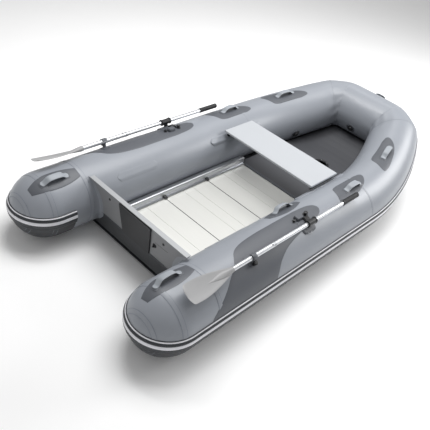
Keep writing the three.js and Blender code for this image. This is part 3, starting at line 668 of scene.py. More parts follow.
class DINGHY_OT_seams(Group, bpy.types.Operator):
    """Seam tapes round the tubes, with a fine darker bead along each edge: painted shade for the shade
    at the tape's edges
    """

    bl_idname = "dinghy.seams"
    bl_label = "Seam tapes"

    def make(self, sizes):
        half = sizes.tape / 2
        angles = [3 * j for j in range(120)]
        places = [
            ("dome_tape", lambda d, a, h: on_dome(76 + degrees(d / TUBE_R), a, h), angles),
            ("tip_tape", lambda d, a, h: on_dome(34 + degrees(d / TUBE_R), a, h), angles),
            ("cone_tape", lambda d, a, h: on_skin(SEAM_S + d, a, h), angles),
            ("curve_tape", lambda d, a, h: on_skin(CURVE_S + d, a, h), angles),
        ]
        for name, at, turns in places:
            both_sides(name, hoop(at, half, 0.0011, turns), "tube_fabric", "tube_fabric")
            if name == "curve_tape":
                continue
            # A darker bead along each edge of the tape: painted shade for the shade that falls at the
            # tape's edges.
            lines = []
            for edge in (-half, half):
                line = lambda d, a, h, edge=edge: at(d + edge, a, h)
                lines.append(hoop(line, 0.0011, 0.0013, turns))
            both_sides(name + "_adhesive", joined(*lines), "seam_edge_painted_shade", "tube_fabric")
        self.mitre_lines()

    def mitre_lines(self):
        """Fine welts over the two mitres of each bow corner."""
        angles = [3 * j for j in range(120)]
        skin, split = bow_rows([(a, 0.0) for a in angles])
        over = bow_rows([(a, 0.0014) for a in angles])[0]
        welts = []
        for row in (split, split + 8):
            lines = []
            for j in range(120):
                back, mid, ahead = (skin[row + k][j] for k in (-1, 0, 1))
                high = over[row][j]
                aft = mid + (back - mid).normalized() * 0.0035
                fore = mid + (ahead - mid).normalized() * 0.0035
                lines.append([aft, high + (aft - mid) * 0.6, high + (fore - mid) * 0.6, fore])
            welts.append(sweep(lines, loop=True))
        both_sides("bow_mitre_welts", joined(*welts), "tube_fabric", "tube_fabric")


# Aft and forward edge of the dark side panel and oarlock patch, by angle round the tube.
PANEL_AFT = [(12.5, 0.348), (20, 0.372), (36, 0.452), (57, 0.548), (68, 0.606), (80, 0.645),
             (90, 0.682), (96, 0.735), (100, 0.815), (102, 0.93)]
PANEL_FORE = [(12.5, 0.886), (20, 0.897), (36, 0.935), (46, 0.985), (56, 1.08), (64, 1.25),
              (71, 1.40), (80, 1.452), (90, 1.45), (96, 1.42), (100, 1.36), (102, 1.26)]


class DINGHY_OT_side_panels(Group, bpy.types.Operator):
    """Dark side panels that run up into the oarlock patches, and a charcoal strip under the strake,
    partly a chafe strip and partly painted shade
    """

    bl_idname = "dinghy.side_panels"
    bl_label = "Side panels"

    def make(self, sizes):
        thick = sizes.patch

        def panel(u, v, height):
            angle = 57.25 + 44.75 * v
            aft = smooth_through(PANEL_AFT, angle)
            fore = smooth_through(PANEL_FORE, angle)
            return on_skin(aft + (fore - aft) * (u + 1) / 2, angle, height)

        both_sides("side_panel", plate(panel, 24, 60, thick, SINK), "patch_fabric",
                   "tube_fabric")
        # Charcoal strip from the strake down the outboard side: partly a chafe strip, partly painted
        # shade under the strake.
        profile = [(-13 - 4 * k, -0.0006) for k in range(14)]
        profile += [(a, 0.0014) for a, _ in reversed(profile)]
        both_sides("chafe_and_shade_strip", sweep(strake_rows(profile)), "bottom_fabric", "tube_fabric")


# ---------- rubbing strake ----------

def strake_rows(profile):
    """Rows of (angle, height) points round the stern dome, down the side and across the bow."""
    places = []
    for s in (0.300, 0.28, 0.25, SHOULDER_S):
        places.append(lambda a, h, s=s: on_tube(tube_section(s), 180 - a, h))
    for turn in range(-85, 86, 5):
        places.append(lambda a, h, turn=turn: strake_on_dome(radians(turn), a, h))
    for i in range(10):
        s = SHOULDER_S + (CURVE_S - SHOULDER_S) * i / 9
        places.append(lambda a, h, s=s: on_tube(tube_section(s), a, h))
    rows = [[place(a, h) for a, h in profile] for place in places]
    rows += bow_rows(profile)[0][2:]
    rows[-1] = [Vector((p.x, 0.0004, p.z)) for p in rows[-1]]
    return rows


def strake_on_dome(turn, angle, height):
    e = radians(angle)
    x = SHOULDER_S - (SHOULDER_S + height) * cos(turn) * cos(e)
    y = TUBE_Y + (TUBE_R + height) * sin(turn) * cos(e)
    return Vector((STERN + x, y, TUBE_R + (TUBE_R + height) * sin(e)))


# Profile of the strake as (angle, height over the skin): a ribbed bumper with two seats
# for the light stripes.
STRAKE_PROFILE = [
    (-12.5, -0.0005), (-12.6, 0.002), (-11.4, 0.0055), (-9.5, 0.0085), (-7.2, 0.0105),
    (-6.8, 0.0092), (-6.4, 0.0105), (-3.5, 0.0122), (-0.8, 0.0126), (-0.4, 0.0115),
    (5.6, 0.0112), (6.0, 0.0122), (7.6, 0.0108), (8.0, 0.0092), (8.4, 0.0102),
    (10.0, 0.0078), (10.3, 0.0068), (12.3, 0.0050), (12.6, 0.0046), (13.2, 0.0015),
    (13.2, -0.0005),
]
WIDE_STRIPE = [(-0.2, 0.010), (-0.1, 0.0128), (1.2, 0.0138), (4.2, 0.0136), (5.3, 0.0124),
               (5.4, 0.010)]
THIN_STRIPE = [(10.4, 0.005), (10.5, 0.0083), (11.3, 0.0086), (12.1, 0.0068), (12.2, 0.004)]


class DINGHY_OT_strakes(Group, bpy.types.Operator):
    """Rubbing strakes round the outside, with a wide and a thin light stripe"""

    bl_idname = "dinghy.strakes"
    bl_label = "Rubbing strakes"

    def make(self, sizes):
        body = sweep(strake_rows(STRAKE_PROFILE))
        both_sides("rub_strake_rubber", body, "strake_rubber", "strake_rubber",
                   ["{side}_rub_strake"], sharp=50)
        stripes = [sweep(strake_rows(profile)) for profile in (WIDE_STRIPE, THIN_STRIPE)]
        both_sides("strake_stripes", joined(*stripes), "stripe_rubber", "strake_rubber", sharp=60)


# ---------- transom ----------

def transom_s(z):
    return TRANSOM_S + RAKE * (TRANSOM_TOP - z)


def transom_half(z, clearance):
    """Half width between the tubes at a height."""
    drop = z - TUBE_R
    reach = TUBE_R + clearance
    return min(BOARD_HIGH.y, TUBE_Y - sqrt(max(0, reach * reach - drop * drop)))


def on_transom(y, z, out=0.0):
    """A point on the transom's aft face, out towards the stern."""
    lean = hypot(1, RAKE)
    return Vector((STERN + transom_s(z) - out / lean, y, z - out * RAKE / lean))


AFT = Vector((-1, 0, -RAKE)).normalized()


class DINGHY_OT_transom(Group, bpy.types.Operator):
    """Raked transom with its cap, motor pads, skirt, fabric holders, eyelets and plug"""

    bl_idname = "dinghy.transom"
    bl_label = "Transom"

    def make(self, sizes):
        edge = sizes.edge
        keep_node("transom_board", finish_of("transom_paint"), edge)
        keep_node("transom_cap", finish_of("cap_metal"), edge)
        keep_node("transom_outer_pad", finish_of("pad_plastic"), 0.002)
        keep_node("transom_inner_pad", finish_of("pad_plastic"), 0.0015)
        self.skirt()
        self.holders()
        self.fittings()

    def skirt(self):
        """The bottom fabric, turned up and glued over the foot of the transom."""
        middle, half = (SKIRT_TOP + SKIRT_LOW) / 2, (SKIRT_TOP - SKIRT_LOW) / 2

        def place(u, v, height):
            z = middle + half * v
            return on_transom(u * transom_half(z, 0.006), z, height)

        skirt = new_piece("transom_skirt_fabric", plate(place, 40, 14, 0.003, 0.0003),
                          "bottom_fabric", ["transom_skirt"])
        hem = [plate(lambda u, v, h: on_transom(u * transom_half(SKIRT_TOP, 0.008),
                                                SKIRT_TOP + 0.002 * v, h), 40, 2, 0.0042, 0.0028)]
        hem.append(plate(lambda u, v, h: on_transom(-0.123 + 0.0012 * u, middle + half * v, h),
                         2, 14, 0.0038, 0.0028))
        new_piece("skirt_hem", joined(*hem), "patch_fabric")

    def holders(self):
        """Strips of tube fabric that turn from the tube on to the transom's face."""
        profile = [(-0.036, 0.0016), (-0.020, 0.0018), (-0.008, 0.0024), (-0.003, 0.006),
                   (-0.0016, 0.016), (-0.0012, 0.034)]
        rows = []
        for i in range(37):
            angle = 121 + 93 * i / 36
            end = min(1.0, 0.15 + min(i, 36 - i) / 9)
            z = TUBE_R + TUBE_R * sin(radians(angle))
            ring_points = []
            for lift in (0.0016, 0.0):
                strip = []
                for d, h in profile:
                    away = min(0.0, d) * end - lift * (0.2 if h < 0.004 else 1)
                    where = tube_section(transom_s(z) + away)
                    rise = max(0.0, h - 0.0018) * end + min(h, 0.0018)
                    strip.append(on_tube(where, angle, rise + lift * (1 if h < 0.004 else 0.1)))
                ring_points.append(strip)
            rows.append(ring_points[0] + ring_points[1][::-1])
        made = both_sides("transom_holder", sweep(rows), "tube_fabric", "holder_fabric",
                          ["{side}_transom_bracket"], sharp=50)

    def fittings(self):
        """The plug with its seat, the lined holes for towing eyes and a blank data plate."""
        low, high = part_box("drain_plug")
        place = on_transom((low.y + high.y) / 2, 0.278)
        seat = lathe([(0.0155, 0), (0.0155, 0.002), (0.014, 0.003), (0.0125, 0.003)],
                     place, AFT, 40)
        new_piece("drain_plug_seat", seat, "black_nylon")
        plug = lathe([(0.007, 0.0032), (0.0115, 0.0032), (0.0120, 0.0045), (0.0120, 0.0062),
                      (0.0065, 0.0078), (0.0062, 0.014), (0.005, 0.0162), (0.002, 0.0166)],
                     place, AFT, 48, 12, 0.0009)
        new_piece("drain_plug_knob", plug, "black_nylon", ["drain_plug"],
                  body="drain_plug", sharp=25)
        eye = on_transom(0.245, 0.349)
        liner = lathe([(0.0085, 0.0003), (0.0085, 0.002), (0.0075, 0.0032), (0.0045, 0.0032),
                       (0.004, 0.0012), (0.0005, 0.001)], eye, AFT, 32)
        both_sides("eyelet_liner", liner, "black_nylon", "eyelet_plastic", ["{side}_tow_eyelet"])
        rim = plate(lambda u, v, h: on_transom(-0.227 + 0.054 * u, 0.310 - 0.003 * u + 0.001 * v, h),
                    6, 2, 0.0009, 0.0002)
        new_piece("blank_plate_edge", rim, "pad_plastic")


# ---------- bottom, keel and deck ----------

def keel_drop(s):
    rise = max(0.0, s - 1.85)
    return 0.176 * rise * rise


class DINGHY_OT_bottom(Group, bpy.types.Operator):
    """Bottom fabric, drawn to a shallow V over the inflatable keel"""

    bl_idname = "dinghy.bottom"
    bl_label = "Bottom and keel"

    def make(self, sizes):
        start = transom_s(SKIRT_LOW) + 0.002

        def fabric(u, v, height):
            s = start + (BOTTOM_END_S - start) * (u + 1) / 2
            edge = on_tube(tube_section(s), GLUE_ANGLE, 0.0035)
            turned_up = 0.034 * exp(-((s - start) / 0.09) ** 2)
            middle = min(0.006 + turned_up + keel_drop(s) * 0.98, edge.z - 0.002)
            # The fabric is round over the keel and straight from there to the tubes.
            reach = sqrt(v * v + 0.012) / sqrt(1.012)
            z = middle + (edge.z - middle) * (reach - 0.109) / 0.891
            return Vector((edge.x, edge.y * v, z + height))

        bottom = new_piece("bottom_fabric_sheet", plate(fabric, 72, 28, 0.0028), "bottom_fabric",
                           ["hull_bottom"], sharp=45)
        rows = []
        low_s, high_s = KEEL_S
        for i in range(49):
            s = low_s + (high_s - low_s) * i / 48
            end = min(1.0, sqrt(max(0.03, min(s - low_s, high_s - s) / 0.06)))
            low = 0.014 + keel_drop(s)
            half = (KEEL_TOP - low) / 2 * end
            rows.append([Vector((STERN + s, KEEL_HALF * end * cos(t * pi / 16),
                                 (low + KEEL_TOP) / 2 + half * sin(t * pi / 16)))
                         for t in range(32)])
        keel = new_piece("keel_tube_fabric", sweep(rows), "bottom_fabric",
                         ["inflatable_keel"], sharp=50)
        low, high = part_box("keel_valve")
        base = Vector(((low.x + high.x) / 2, (low.y + high.y) / 2, low.z))
        valve = lathe([(0.022, 0), (0.022, 0.0025), (0.020, 0.004), (0.0155, 0.0045),
                       (0.0155, 0.009), (0.0135, 0.0102), (0.009, 0.0102), (0.008, 0.0085),
                       (0.001, 0.0085)], base, UP, 48, 10, 0.0008)
        new_piece("keel_valve_body", valve, "black_nylon", ["keel_valve"])


class DINGHY_OT_deck(Group, bpy.types.Operator):
    """Metal deck panels, their gaskets and clips, the side rails, the bow board and its ring"""

    bl_idname = "dinghy.deck"
    bl_label = "Deck"

    def make(self, sizes):
        edge = sizes.edge
        for name in ("aft", "mid", "fwd"):
            keep_node(f"floor_panel_{name}", finish_of("deck_metal"), 0.0006)
        keep_node("floor_cross_rail", finish_of("painted_metal"), edge)
        for side in ("port", "starboard"):
            keep_node(f"{side}_stringer", finish_of("rail_metal"), 0.0008)
        keep_node("bow_floor_board", finish_of("bow_board"), 0.0015, 50)
        self.gaskets()
        self.ring()
        self.strip()
        self.lip()

    def gaskets(self):
        """A dark rubber gasket in each joint of the deck, and a clip at each of its ends."""
        for number, s in enumerate(FLOOR_JOINTS, 1):
            x = STERN + s
            profile = [(-0.0012, -0.005), (0.0012, -0.005), (0.0013, -0.0004), (0.0026, 0.0002),
                       (0.0022, 0.001), (0, 0.0013), (-0.0022, 0.001), (-0.0026, 0.0002),
                       (-0.0013, -0.0004)]
            rows = [[Vector((x + a, y, FLOOR_TOP + b)) for a, b in profile]
                    for y in (PANEL_LOW.y + 0.012, 0.0, PANEL_HIGH.y - 0.012)]
            new_piece(f"deck_gasket_{number}", sweep(rows), "black_nylon")
            both_sides(f"rail_clip_{number}", self.clip(x), "black_nylon", "hatch_plastic")

    def clip(self, x):
        """A moulded saddle over the rail's channel, with a thumb pad."""
        top = RAIL_LOW.z + 0.0235
        profile = [(0.274, -0.0068), (0.274, -0.004), (0.283, -0.001), (0.286, 0.003),
                   (0.292, 0.0055), (0.300, 0.0048), (0.3035, 0.001), (0.306, -0.0005),
                   (0.306, -0.0035), (0.301, -0.0035), (0.2985, -0.0008), (0.291, -0.0006),
                   (0.2845, 0.0018), (0.2815, -0.0030)]
        rows = []
        for d in (-0.013, -0.0115, -0.004, 0.004, 0.0115, 0.013):
            pull = 0.0012 if abs(d) > 0.012 else 0.0
            rows.append([Vector((x + d, y, top + z - pull)) for y, z in profile])
        return sweep(rows)

    def ring(self):
        """Trim ring of the access hole, with its rounded lip and screws."""
        centre = (RING_LOW + RING_HIGH) / 2
        base = Vector((centre.x, centre.y, RING_LOW.z))
        outer = RING_HIGH.x - centre.x
        inner = outer - 0.022
        profile = [(outer, 0), (outer, 0.0025), (outer - 0.002, 0.0046), (outer - 0.006, 0.0058),
                   (inner + 0.004, 0.0058), (inner + 0.001, 0.0046), (inner, 0.002), (inner, 0)]
        rows = []
        for j in range(72):
            t = 2 * pi * j / 72
            rows.append([base + Vector((r * cos(t), r * sin(t), h)) for r, h in profile])
        new_piece("access_ring_trim", sweep(rows, loop=True), "black_nylon",
                  ["access_ring"])
        screws = []
        for j in range(6):
            t = 2 * pi * (j + 0.5) / 6
            reach = (outer + inner) / 2
            at = base + Vector((reach * cos(t), reach * sin(t), 0.0052))
            screws.append(lathe([(0.0035, 0), (0.0035, 0.0008), (0.0026, 0.0016),
                                 (0.0010, 0.0017), (0.0006, 0.0010)], at, UP, 20))
        new_piece("access_ring_screws", joined(*screws), "rail_metal")

    def strip(self):
        """A short bright strip across the bow board."""
        x = STERN + 2.39

        def place(u, v, height):
            return Vector((x + 0.004 * v, 0.103 + 0.078 * u, 0.114 + height))

        new_piece("bow_board_strip", plate(place, 8, 4, 0.0022, 0.0002), "rail_metal")

    def lip(self):
        """A rubber lip that closes the bow board against the cross tube."""
        high = BOW_BOARD_HIGH

        def place(u, v, height):
            x = high.x - 0.002 + 0.009 * (v + 1)
            return Vector((x, u * (high_half + 0.004), high.z - 0.0035 + 0.0045 * (v + 1) + height))

        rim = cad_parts["bow_floor_board"]
        tips = [rim.matrix_world @ v.co for v in rim.data.vertices]
        high_half = max(p.y for p in tips if p.x > high.x - 0.002)
        new_piece("bow_board_lip", plate(place, 16, 4, 0.004), "black_nylon")


# ---------- bench ----------

class DINGHY_OT_bench(Group, bpy.types.Operator):
    """Bench seat with its end plugs and brackets, and the bonded tracks that it slides on"""

    bl_idname = "dinghy.bench"
    bl_label = "Bench"

    def make(self, sizes):
        keep_node("seat_board", finish_of("seat_coat"), 0.0015)
        for side in ("port", "starboard"):
            keep_node(f"{side}_seat_bracket", finish_of("black_nylon"), 0.0015)
        self.end_plugs()
        self.tracks()

    def end_plugs(self):
        """Moulded plugs that close the hollow ends of the bench."""
        y0 = SEAT_HIGH.y + 0.0003
        middle = (SEAT_LOW.x + SEAT_HIGH.x) / 2
        half = (SEAT_HIGH.x - SEAT_LOW.x) / 2
        rows = []
        for y, pull in ((y0, 0.0), (y0 + 0.003, 0.0), (y0 + 0.0045, 0.0015)):
            outline = []
            for cx, cz, start in ((half - 0.003, SEAT_HIGH.z - 0.003, 0),
                                  (-half + 0.003, SEAT_HIGH.z - 0.003, 90),
                                  (-half + 0.003, SEAT_LOW.z + 0.003, 180),
                                  (half - 0.003, SEAT_LOW.z + 0.003, 270)):
                for k in range(4):
                    t = radians(start + 30 * k)
                    reach = 0.003 - pull
                    outline.append(Vector((middle + cx + reach * cos(t), y,
                                           cz + reach * sin(t))))
            rows.append(outline)
        both_sides("seat_end_plug", sweep(rows), "strap_rubber", "seat_metal", body="seat")

    def tracks(self):
        """Bonded strips with a raised lip, that the brackets hook over, and flatter spares."""
        both_sides("seat_track_strip", self.track(1.49, 0.57, 60, 2.5), "tube_fabric",
                   "track_strip", ["{side}_seat_track"], sharp=50)
        both_sides("spare_track_strip", self.track(0.64, 0.33, 36, 2, 0.28), "tube_fabric",
                   "track_strip", sharp=50)

    def track(self, start, long, steps, blunt, tall=1.0):
        profile = [(133, -0.0004), (133, 0.0026), (134, 0.0046), (137, 0.005), (141, 0.0055),
                   (143, 0.0080), (144.3, 0.0086), (145.6, 0.0080), (147, 0.0055),
                   (148.6, 0.0046), (149.4, 0.0026), (149.4, -0.0004)]
        rows = []
        for i in range(steps + 1):
            end = min(1.0, sqrt(max(0.05, min(i, steps - i) / blunt)))
            where = tube_section(start + long * i / steps)
            rows.append([on_tube(where, TRACK_ANGLE + (a - TRACK_ANGLE) * end, h * tall)
                         for a, h in profile])
        return sweep(rows)


# ---------- grab handles ----------

ARCH = [(-1.0, 0.0), (-0.8, 0.0), (-0.66, 0.30), (-0.5, 0.78), (-0.25, 0.97), (0.0, 1.0),
        (0.25, 0.97), (0.5, 0.78), (0.66, 0.30), (0.8, 0.0), (1.0, 0.0)]


# Aft and forward edge of a swept patch, by distance across it.
SWEPT_AFT = [(-0.076, -0.186), (-0.070, -0.203), (-0.040, -0.203), (0, -0.182), (0.040, -0.165),
             (0.062, -0.150), (0.071, -0.128), (0.076, -0.095)]
SWEPT_FORE = [(-0.076, -0.130), (-0.062, -0.045), (-0.045, 0.050), (-0.020, 0.125), (0.020, 0.185),
              (0.048, 0.200), (0.066, 0.182), (0.076, 0.130)]


class DINGHY_OT_handles(Group, bpy.types.Operator):
    """Grab handles: arched straps moulded on to leaf-shaped and swept patches"""

    bl_idname = "dinghy.handles"
    bl_label = "Grab handles"

    def make(self, sizes):
        self.sizes = sizes
        for side, sign in SIDES:
            stern = self.place(0.243, 106, sign)
            self.build(f"{side}_handle_stern", stern, self.leaf(0.168, 0.064, 0.5), STRAP_REACH)
            for name, s, angle in (("mid", 1.864, 84), ("bow", 2.475, 90)):
                self.build(f"{side}_handle_{name}", self.place(s, angle, sign), self.swept,
                           STRAP_REACH)
        inner = self.place(1.268, 122, -1)
        self.build("starboard_handle_inner", inner, self.leaf(0.155, 0.058, 0.4), STRAP_REACH)

        def front(along, across, height):
            return on_tube(cross_section(along), BOW_HANDLE_ANGLE + degrees(across / BOW_R), height)

        self.build("bow_handle", front, self.leaf(0.105, 0.044, 0.35), 0.080)

    def place(self, s, angle, sign):
        """Places a point along and across a handle on one side's tube."""
        def at(along, across, height):
            radius = tube_section(max(s + along, SHOULDER_S)).radius
            point = on_skin(s + along, angle + degrees(across / radius), height)
            return mirrored(point, sign)
        return at

    def leaf(self, half, wide, blunt):
        """Outline of a leaf with clipped ends, as (along, across)."""
        return lambda u, v: (u * half, v * wide * (blunt + (1 - blunt) * (1 - abs(u) ** 2.1)))

    def swept(self, u, v):
        """Outline of a patch whose outboard side runs further aft."""
        across = 0.076 * v
        aft = smooth_through(SWEPT_AFT, across)
        fore = smooth_through(SWEPT_FORE, across)
        return aft + (fore - aft) * (u + 1) / 2, across

    def build(self, name, place, outline, reach):
        thick = self.sizes.patch
        patch = plate(lambda u, v, h: place(*outline(u, v), h), 36, 28, thick, SINK)
        new_piece(f"{name}_patch", patch, "patch_fabric")
        foot = [plate(lambda u, v, h, end=end: place(
            end * (reach - 0.012) + 0.024 * u * sqrt(1 - 0.45 * v * v), 0.024 * v, h),
            10, 8, 0.0045, thick * 0.5) for end in (-1, 1)]
        new_piece(f"{name}_feet", joined(*foot), "patch_fabric")
        new_piece(f"{name}_strap", self.strap(place, reach), "strap_rubber",
                  [name], sharp=50)

    def strap(self, place, reach):
        """A moulded strap of rounded section, thicker where it leaves its feet."""
        width, thick = self.sizes.strap_width / 2, self.sizes.strap_thick
        rows = []
        for i in range(49):
            u = 2 * i / 48 - 1
            rise = 0.0035 + self.sizes.strap_rise * smooth_through(ARCH, u)
            narrow = width * sqrt(max(0.08, 1 - max(0.0, abs(u) - 0.88) ** 2 / 0.0144 * 0.92))
            ring_points = []
            for k in range(20):
                t = 2 * pi * k / 20
                across = narrow * (abs(cos(t)) ** 0.35) * (1 if cos(t) > 0 else -1)
                up = thick / 2 * (abs(sin(t)) ** 0.7) * (1 if sin(t) > 0 else -1)
                ring_points.append(place(u * reach, across, rise + thick / 2 + up))
            rows.append(ring_points)
        return sweep(rows)


# ---------- valves ----------

class DINGHY_OT_valves(Group, bpy.types.Operator):
    """Air valves: a flange welded to the tube and a ribbed cap that turns in it"""

    bl_idname = "dinghy.valves"
    bl_label = "Air valves"

    def make(self, sizes):
        where = tube_section(VALVE_S)
        for side, sign in SIDES:
            base = on_tube(where, VALVE_ANGLE)
            axis = outward(where, VALVE_ANGLE).normalized()
            self.valve(f"{side}_valve", mirrored(base, sign), mirrored(axis, sign))
        where = cross_section(BOW_VALVE_Y)
        base = on_tube(where, BOW_VALVE_ANGLE)
        self.valve("bow_valve", base, outward(where, BOW_VALVE_ANGLE).normalized())

    def valve(self, body, base, axis):
        flange = lathe([(0.040, -0.003), (0.040, 0.0012), (0.037, 0.0026), (0.029, 0.003),
                        (0.0285, 0.0022), (0.002, 0.002)], base, axis, 64)
        new_piece(f"{body}_flange", flange, "grey_nylon")
        cap = lathe([(0.0265, 0.0026), (0.027, 0.004), (0.027, 0.0055), (0.0225, 0.007),
                     (0.022, 0.0115), (0.0205, 0.0128), (0.016, 0.0130), (0.0145, 0.0112),
                     (0.001, 0.0108)], base, axis, 96, 16, 0.0009)
        new_piece(f"{body}_cap_shell", cap, "black_nylon", [f"{body}_cap"], body=body,
                  sharp=25)


# ---------- oars and oarlocks ----------

def oar_point(s, height, across=0.0):
    """A point over the port tube on the oar's line, across it towards the top."""
    a = radians(OAR_ANGLE)
    up = Vector((0, cos(a), sin(a)))
    inboard = Vector((0, -sin(a), cos(a)))
    return Vector((STERN + s, TUBE_Y, TUBE_R)) + up * (TUBE_R + height) + inboard * across


OAR_UP = Vector((0, cos(radians(OAR_ANGLE)), sin(radians(OAR_ANGLE))))
FORWARD = Vector((1, 0, 0))


# Half width and half height of the blade's rib, from its socket (0) to its point (1).
RIB_WIDE = [(0, 0.0165), (0.08, 0.0172), (0.4, 0.0205), (0.55, 0.0165), (0.8, 0.0070), (1, 0.001)]
RIB_TALL = [(0, 0.0165), (0.08, 0.0170), (0.2, 0.0150), (0.4, 0.0095), (0.7, 0.0050), (1, 0.0022)]


class DINGHY_OT_oars(Group, bpy.types.Operator):
    """Two-piece oars: spooned blade with a tapering rib, shafts, sleeve and grip"""

    bl_idname = "dinghy.oars"
    bl_label = "Oars"

    def make(self, sizes):
        self.blade()
        self.shafts()
        self.grip()
        self.collar()

    def add(self, name, shape, material, slot, replaces=(), **rest):
        both_sides(name, shape, material, slot, replaces, body="{side}_oar", **rest)

    def blade_half(self, t):
        """Half width along the blade, from the neck (0) to the tip (1)."""
        full = 0.0175 + 0.0425 * sin(min(1.0, t * 1.25) * pi / 2)
        corner = max(0.0, (t - 0.93) / 0.07)
        return full * (1 - 0.05 * max(0.0, t - 0.8) / 0.2) * sqrt(1 - 0.45 * corner ** 2.5)

    def blade(self):
        def curl(t):
            return 0.016 * max(0.0, (t - 0.35) / 0.65) ** 2

        def place(u, v, height):
            t = (u + 1) / 2
            s = NECK_S - (NECK_S - BLADE_TIP_S - 0.002 * v * v * t ** 4) * t
            cup = 0.008 * v * v * sin(t * pi / 2) + curl(t)
            thin = 1 - 0.45 * max(abs(v), t ** 3)
            return oar_point(s, OAR_HEIGHT + cup + height * thin, v * self.blade_half(t))

        sheet = plate(place, 48, 20, 0.0022, -0.0026)
        rib = []
        for i in range(33):
            t = i / 32
            s = SOCKET_S - 0.0002 - 0.200 * t
            along = max(0.0, (NECK_S - s) / (NECK_S - BLADE_TIP_S))
            wide = smooth_through(RIB_WIDE, t)
            tall = smooth_through(RIB_TALL, t)
            lift = OAR_HEIGHT + curl(along) - 0.0003
            rib.append([oar_point(s, lift + tall * sin(k * pi / 12), wide * cos(k * pi / 12))
                        for k in range(24)])
        self.add("oar_blade_moulding", joined(sheet, sweep(rib)), "blade_plastic",
                 "blade_plastic", ["{side}_oar_blade"], sharp=38)

    def shafts(self):
        for name, s0, s1, radius in (
                ("lower", SOCKET_S + 0.0004, SHAFT_JOINT_S - 0.0004, SHAFT_R),
                ("upper", SHAFT_JOINT_S + 0.0004, GRIP_S[0] - 0.0004, SHAFT_R - 0.0012)):
            wall, long = 0.0016, s1 - s0
            profile = [(radius - wall, 0), (radius - 0.0003, 0), (radius, 0.0004),
                       (radius, long - 0.0004), (radius - 0.0003, long), (radius - wall, long)]
            self.add(f"oar_{name}_tube", self.pipe(profile, oar_point(s0, OAR_HEIGHT)),
                     "shaft_metal", "shaft_metal",
                     [f"{{side}}_oar_{name}_shaft"])
        ferrule = self.pipe([(SHAFT_R + 0.0001, 0), (SHAFT_R + 0.0012, 0.0004),
                             (SHAFT_R + 0.0012, 0.0116), (SHAFT_R + 0.0001, 0.012)],
                            oar_point(SHAFT_JOINT_S - 0.013, OAR_HEIGHT))
        self.add("oar_joint_ferrule", ferrule, "rail_metal", "shaft_metal")
        button = lathe([(0.0042, 0), (0.0042, 0.0018), (0.003, 0.0028), (0.0006, 0.0031)],
                       oar_point(SHAFT_JOINT_S - 0.030, OAR_HEIGHT + SHAFT_R - 0.0006),
                       OAR_UP, 24)
        self.add("oar_joint_button", button, "black_nylon", "grip_plastic")

    def pipe(self, profile, base):
        """An open-ended pipe along the oar."""
        rows = []
        for j in range(40):
            t = 2 * pi * j / 40
            side = Vector((0, cos(t), sin(t)))
            rows.append([base + side * r + FORWARD * d for r, d in profile])
        return sweep(rows, loop=True)

    def grip(self):
        profile = [(0.0145, 0), (0.0168, 0.0015), (0.0175, 0.006)]
        for k in range(13):
            d = 0.014 + 0.0115 * k
            profile += [(0.0172, d), (0.0163, d + 0.0018), (0.0163, d + 0.0045), (0.0172, d + 0.0063)]
        profile += [(0.0175, 0.172), (0.0165, 0.1765), (0.012, 0.1798), (0.002, 0.180)]
        self.add("oar_grip_sleeve", lathe(profile, oar_point(GRIP_S[0], OAR_HEIGHT), FORWARD, 40),
                 "grip_rubber", "grip_plastic", ["{side}_oar_grip"], sharp=30)

    def collar(self):
        """Sleeve on the shaft, with stop flanges and the eye that turns on the pin."""
        radius = SHAFT_R - 0.0009
        profile = [(radius, -0.040), (0.0205, -0.040), (0.0225, -0.0385), (0.0225, -0.034),
                   (0.0205, -0.0325), (0.0195, -0.031), (0.0195, 0.031), (0.0205, 0.0325),
                   (0.0225, 0.034), (0.0225, 0.0385), (0.0205, 0.040), (radius, 0.040)]
        sleeve = self.pipe(profile, oar_point(LOCK_S, OAR_HEIGHT))
        centre = oar_point(LOCK_S, OAR_HEIGHT)
        side = OAR_UP.cross(FORWARD)
        eye_profile = [(0.0078, -0.0308), (0.0142, -0.0308), (0.0150, -0.0298),
                       (0.0150, -0.0160), (0.0078, -0.0160)]
        rows = []
        for j in range(40):
            t = 2 * pi * j / 40
            out = FORWARD * cos(t) + side * sin(t)
            rows.append([centre + out * r + OAR_UP * h for r, h in eye_profile])
        self.add("oar_sleeve", joined(sleeve, sweep(rows, loop=True)), "black_nylon",
                 "lock_plastic", ["{side}_oar_collar"])


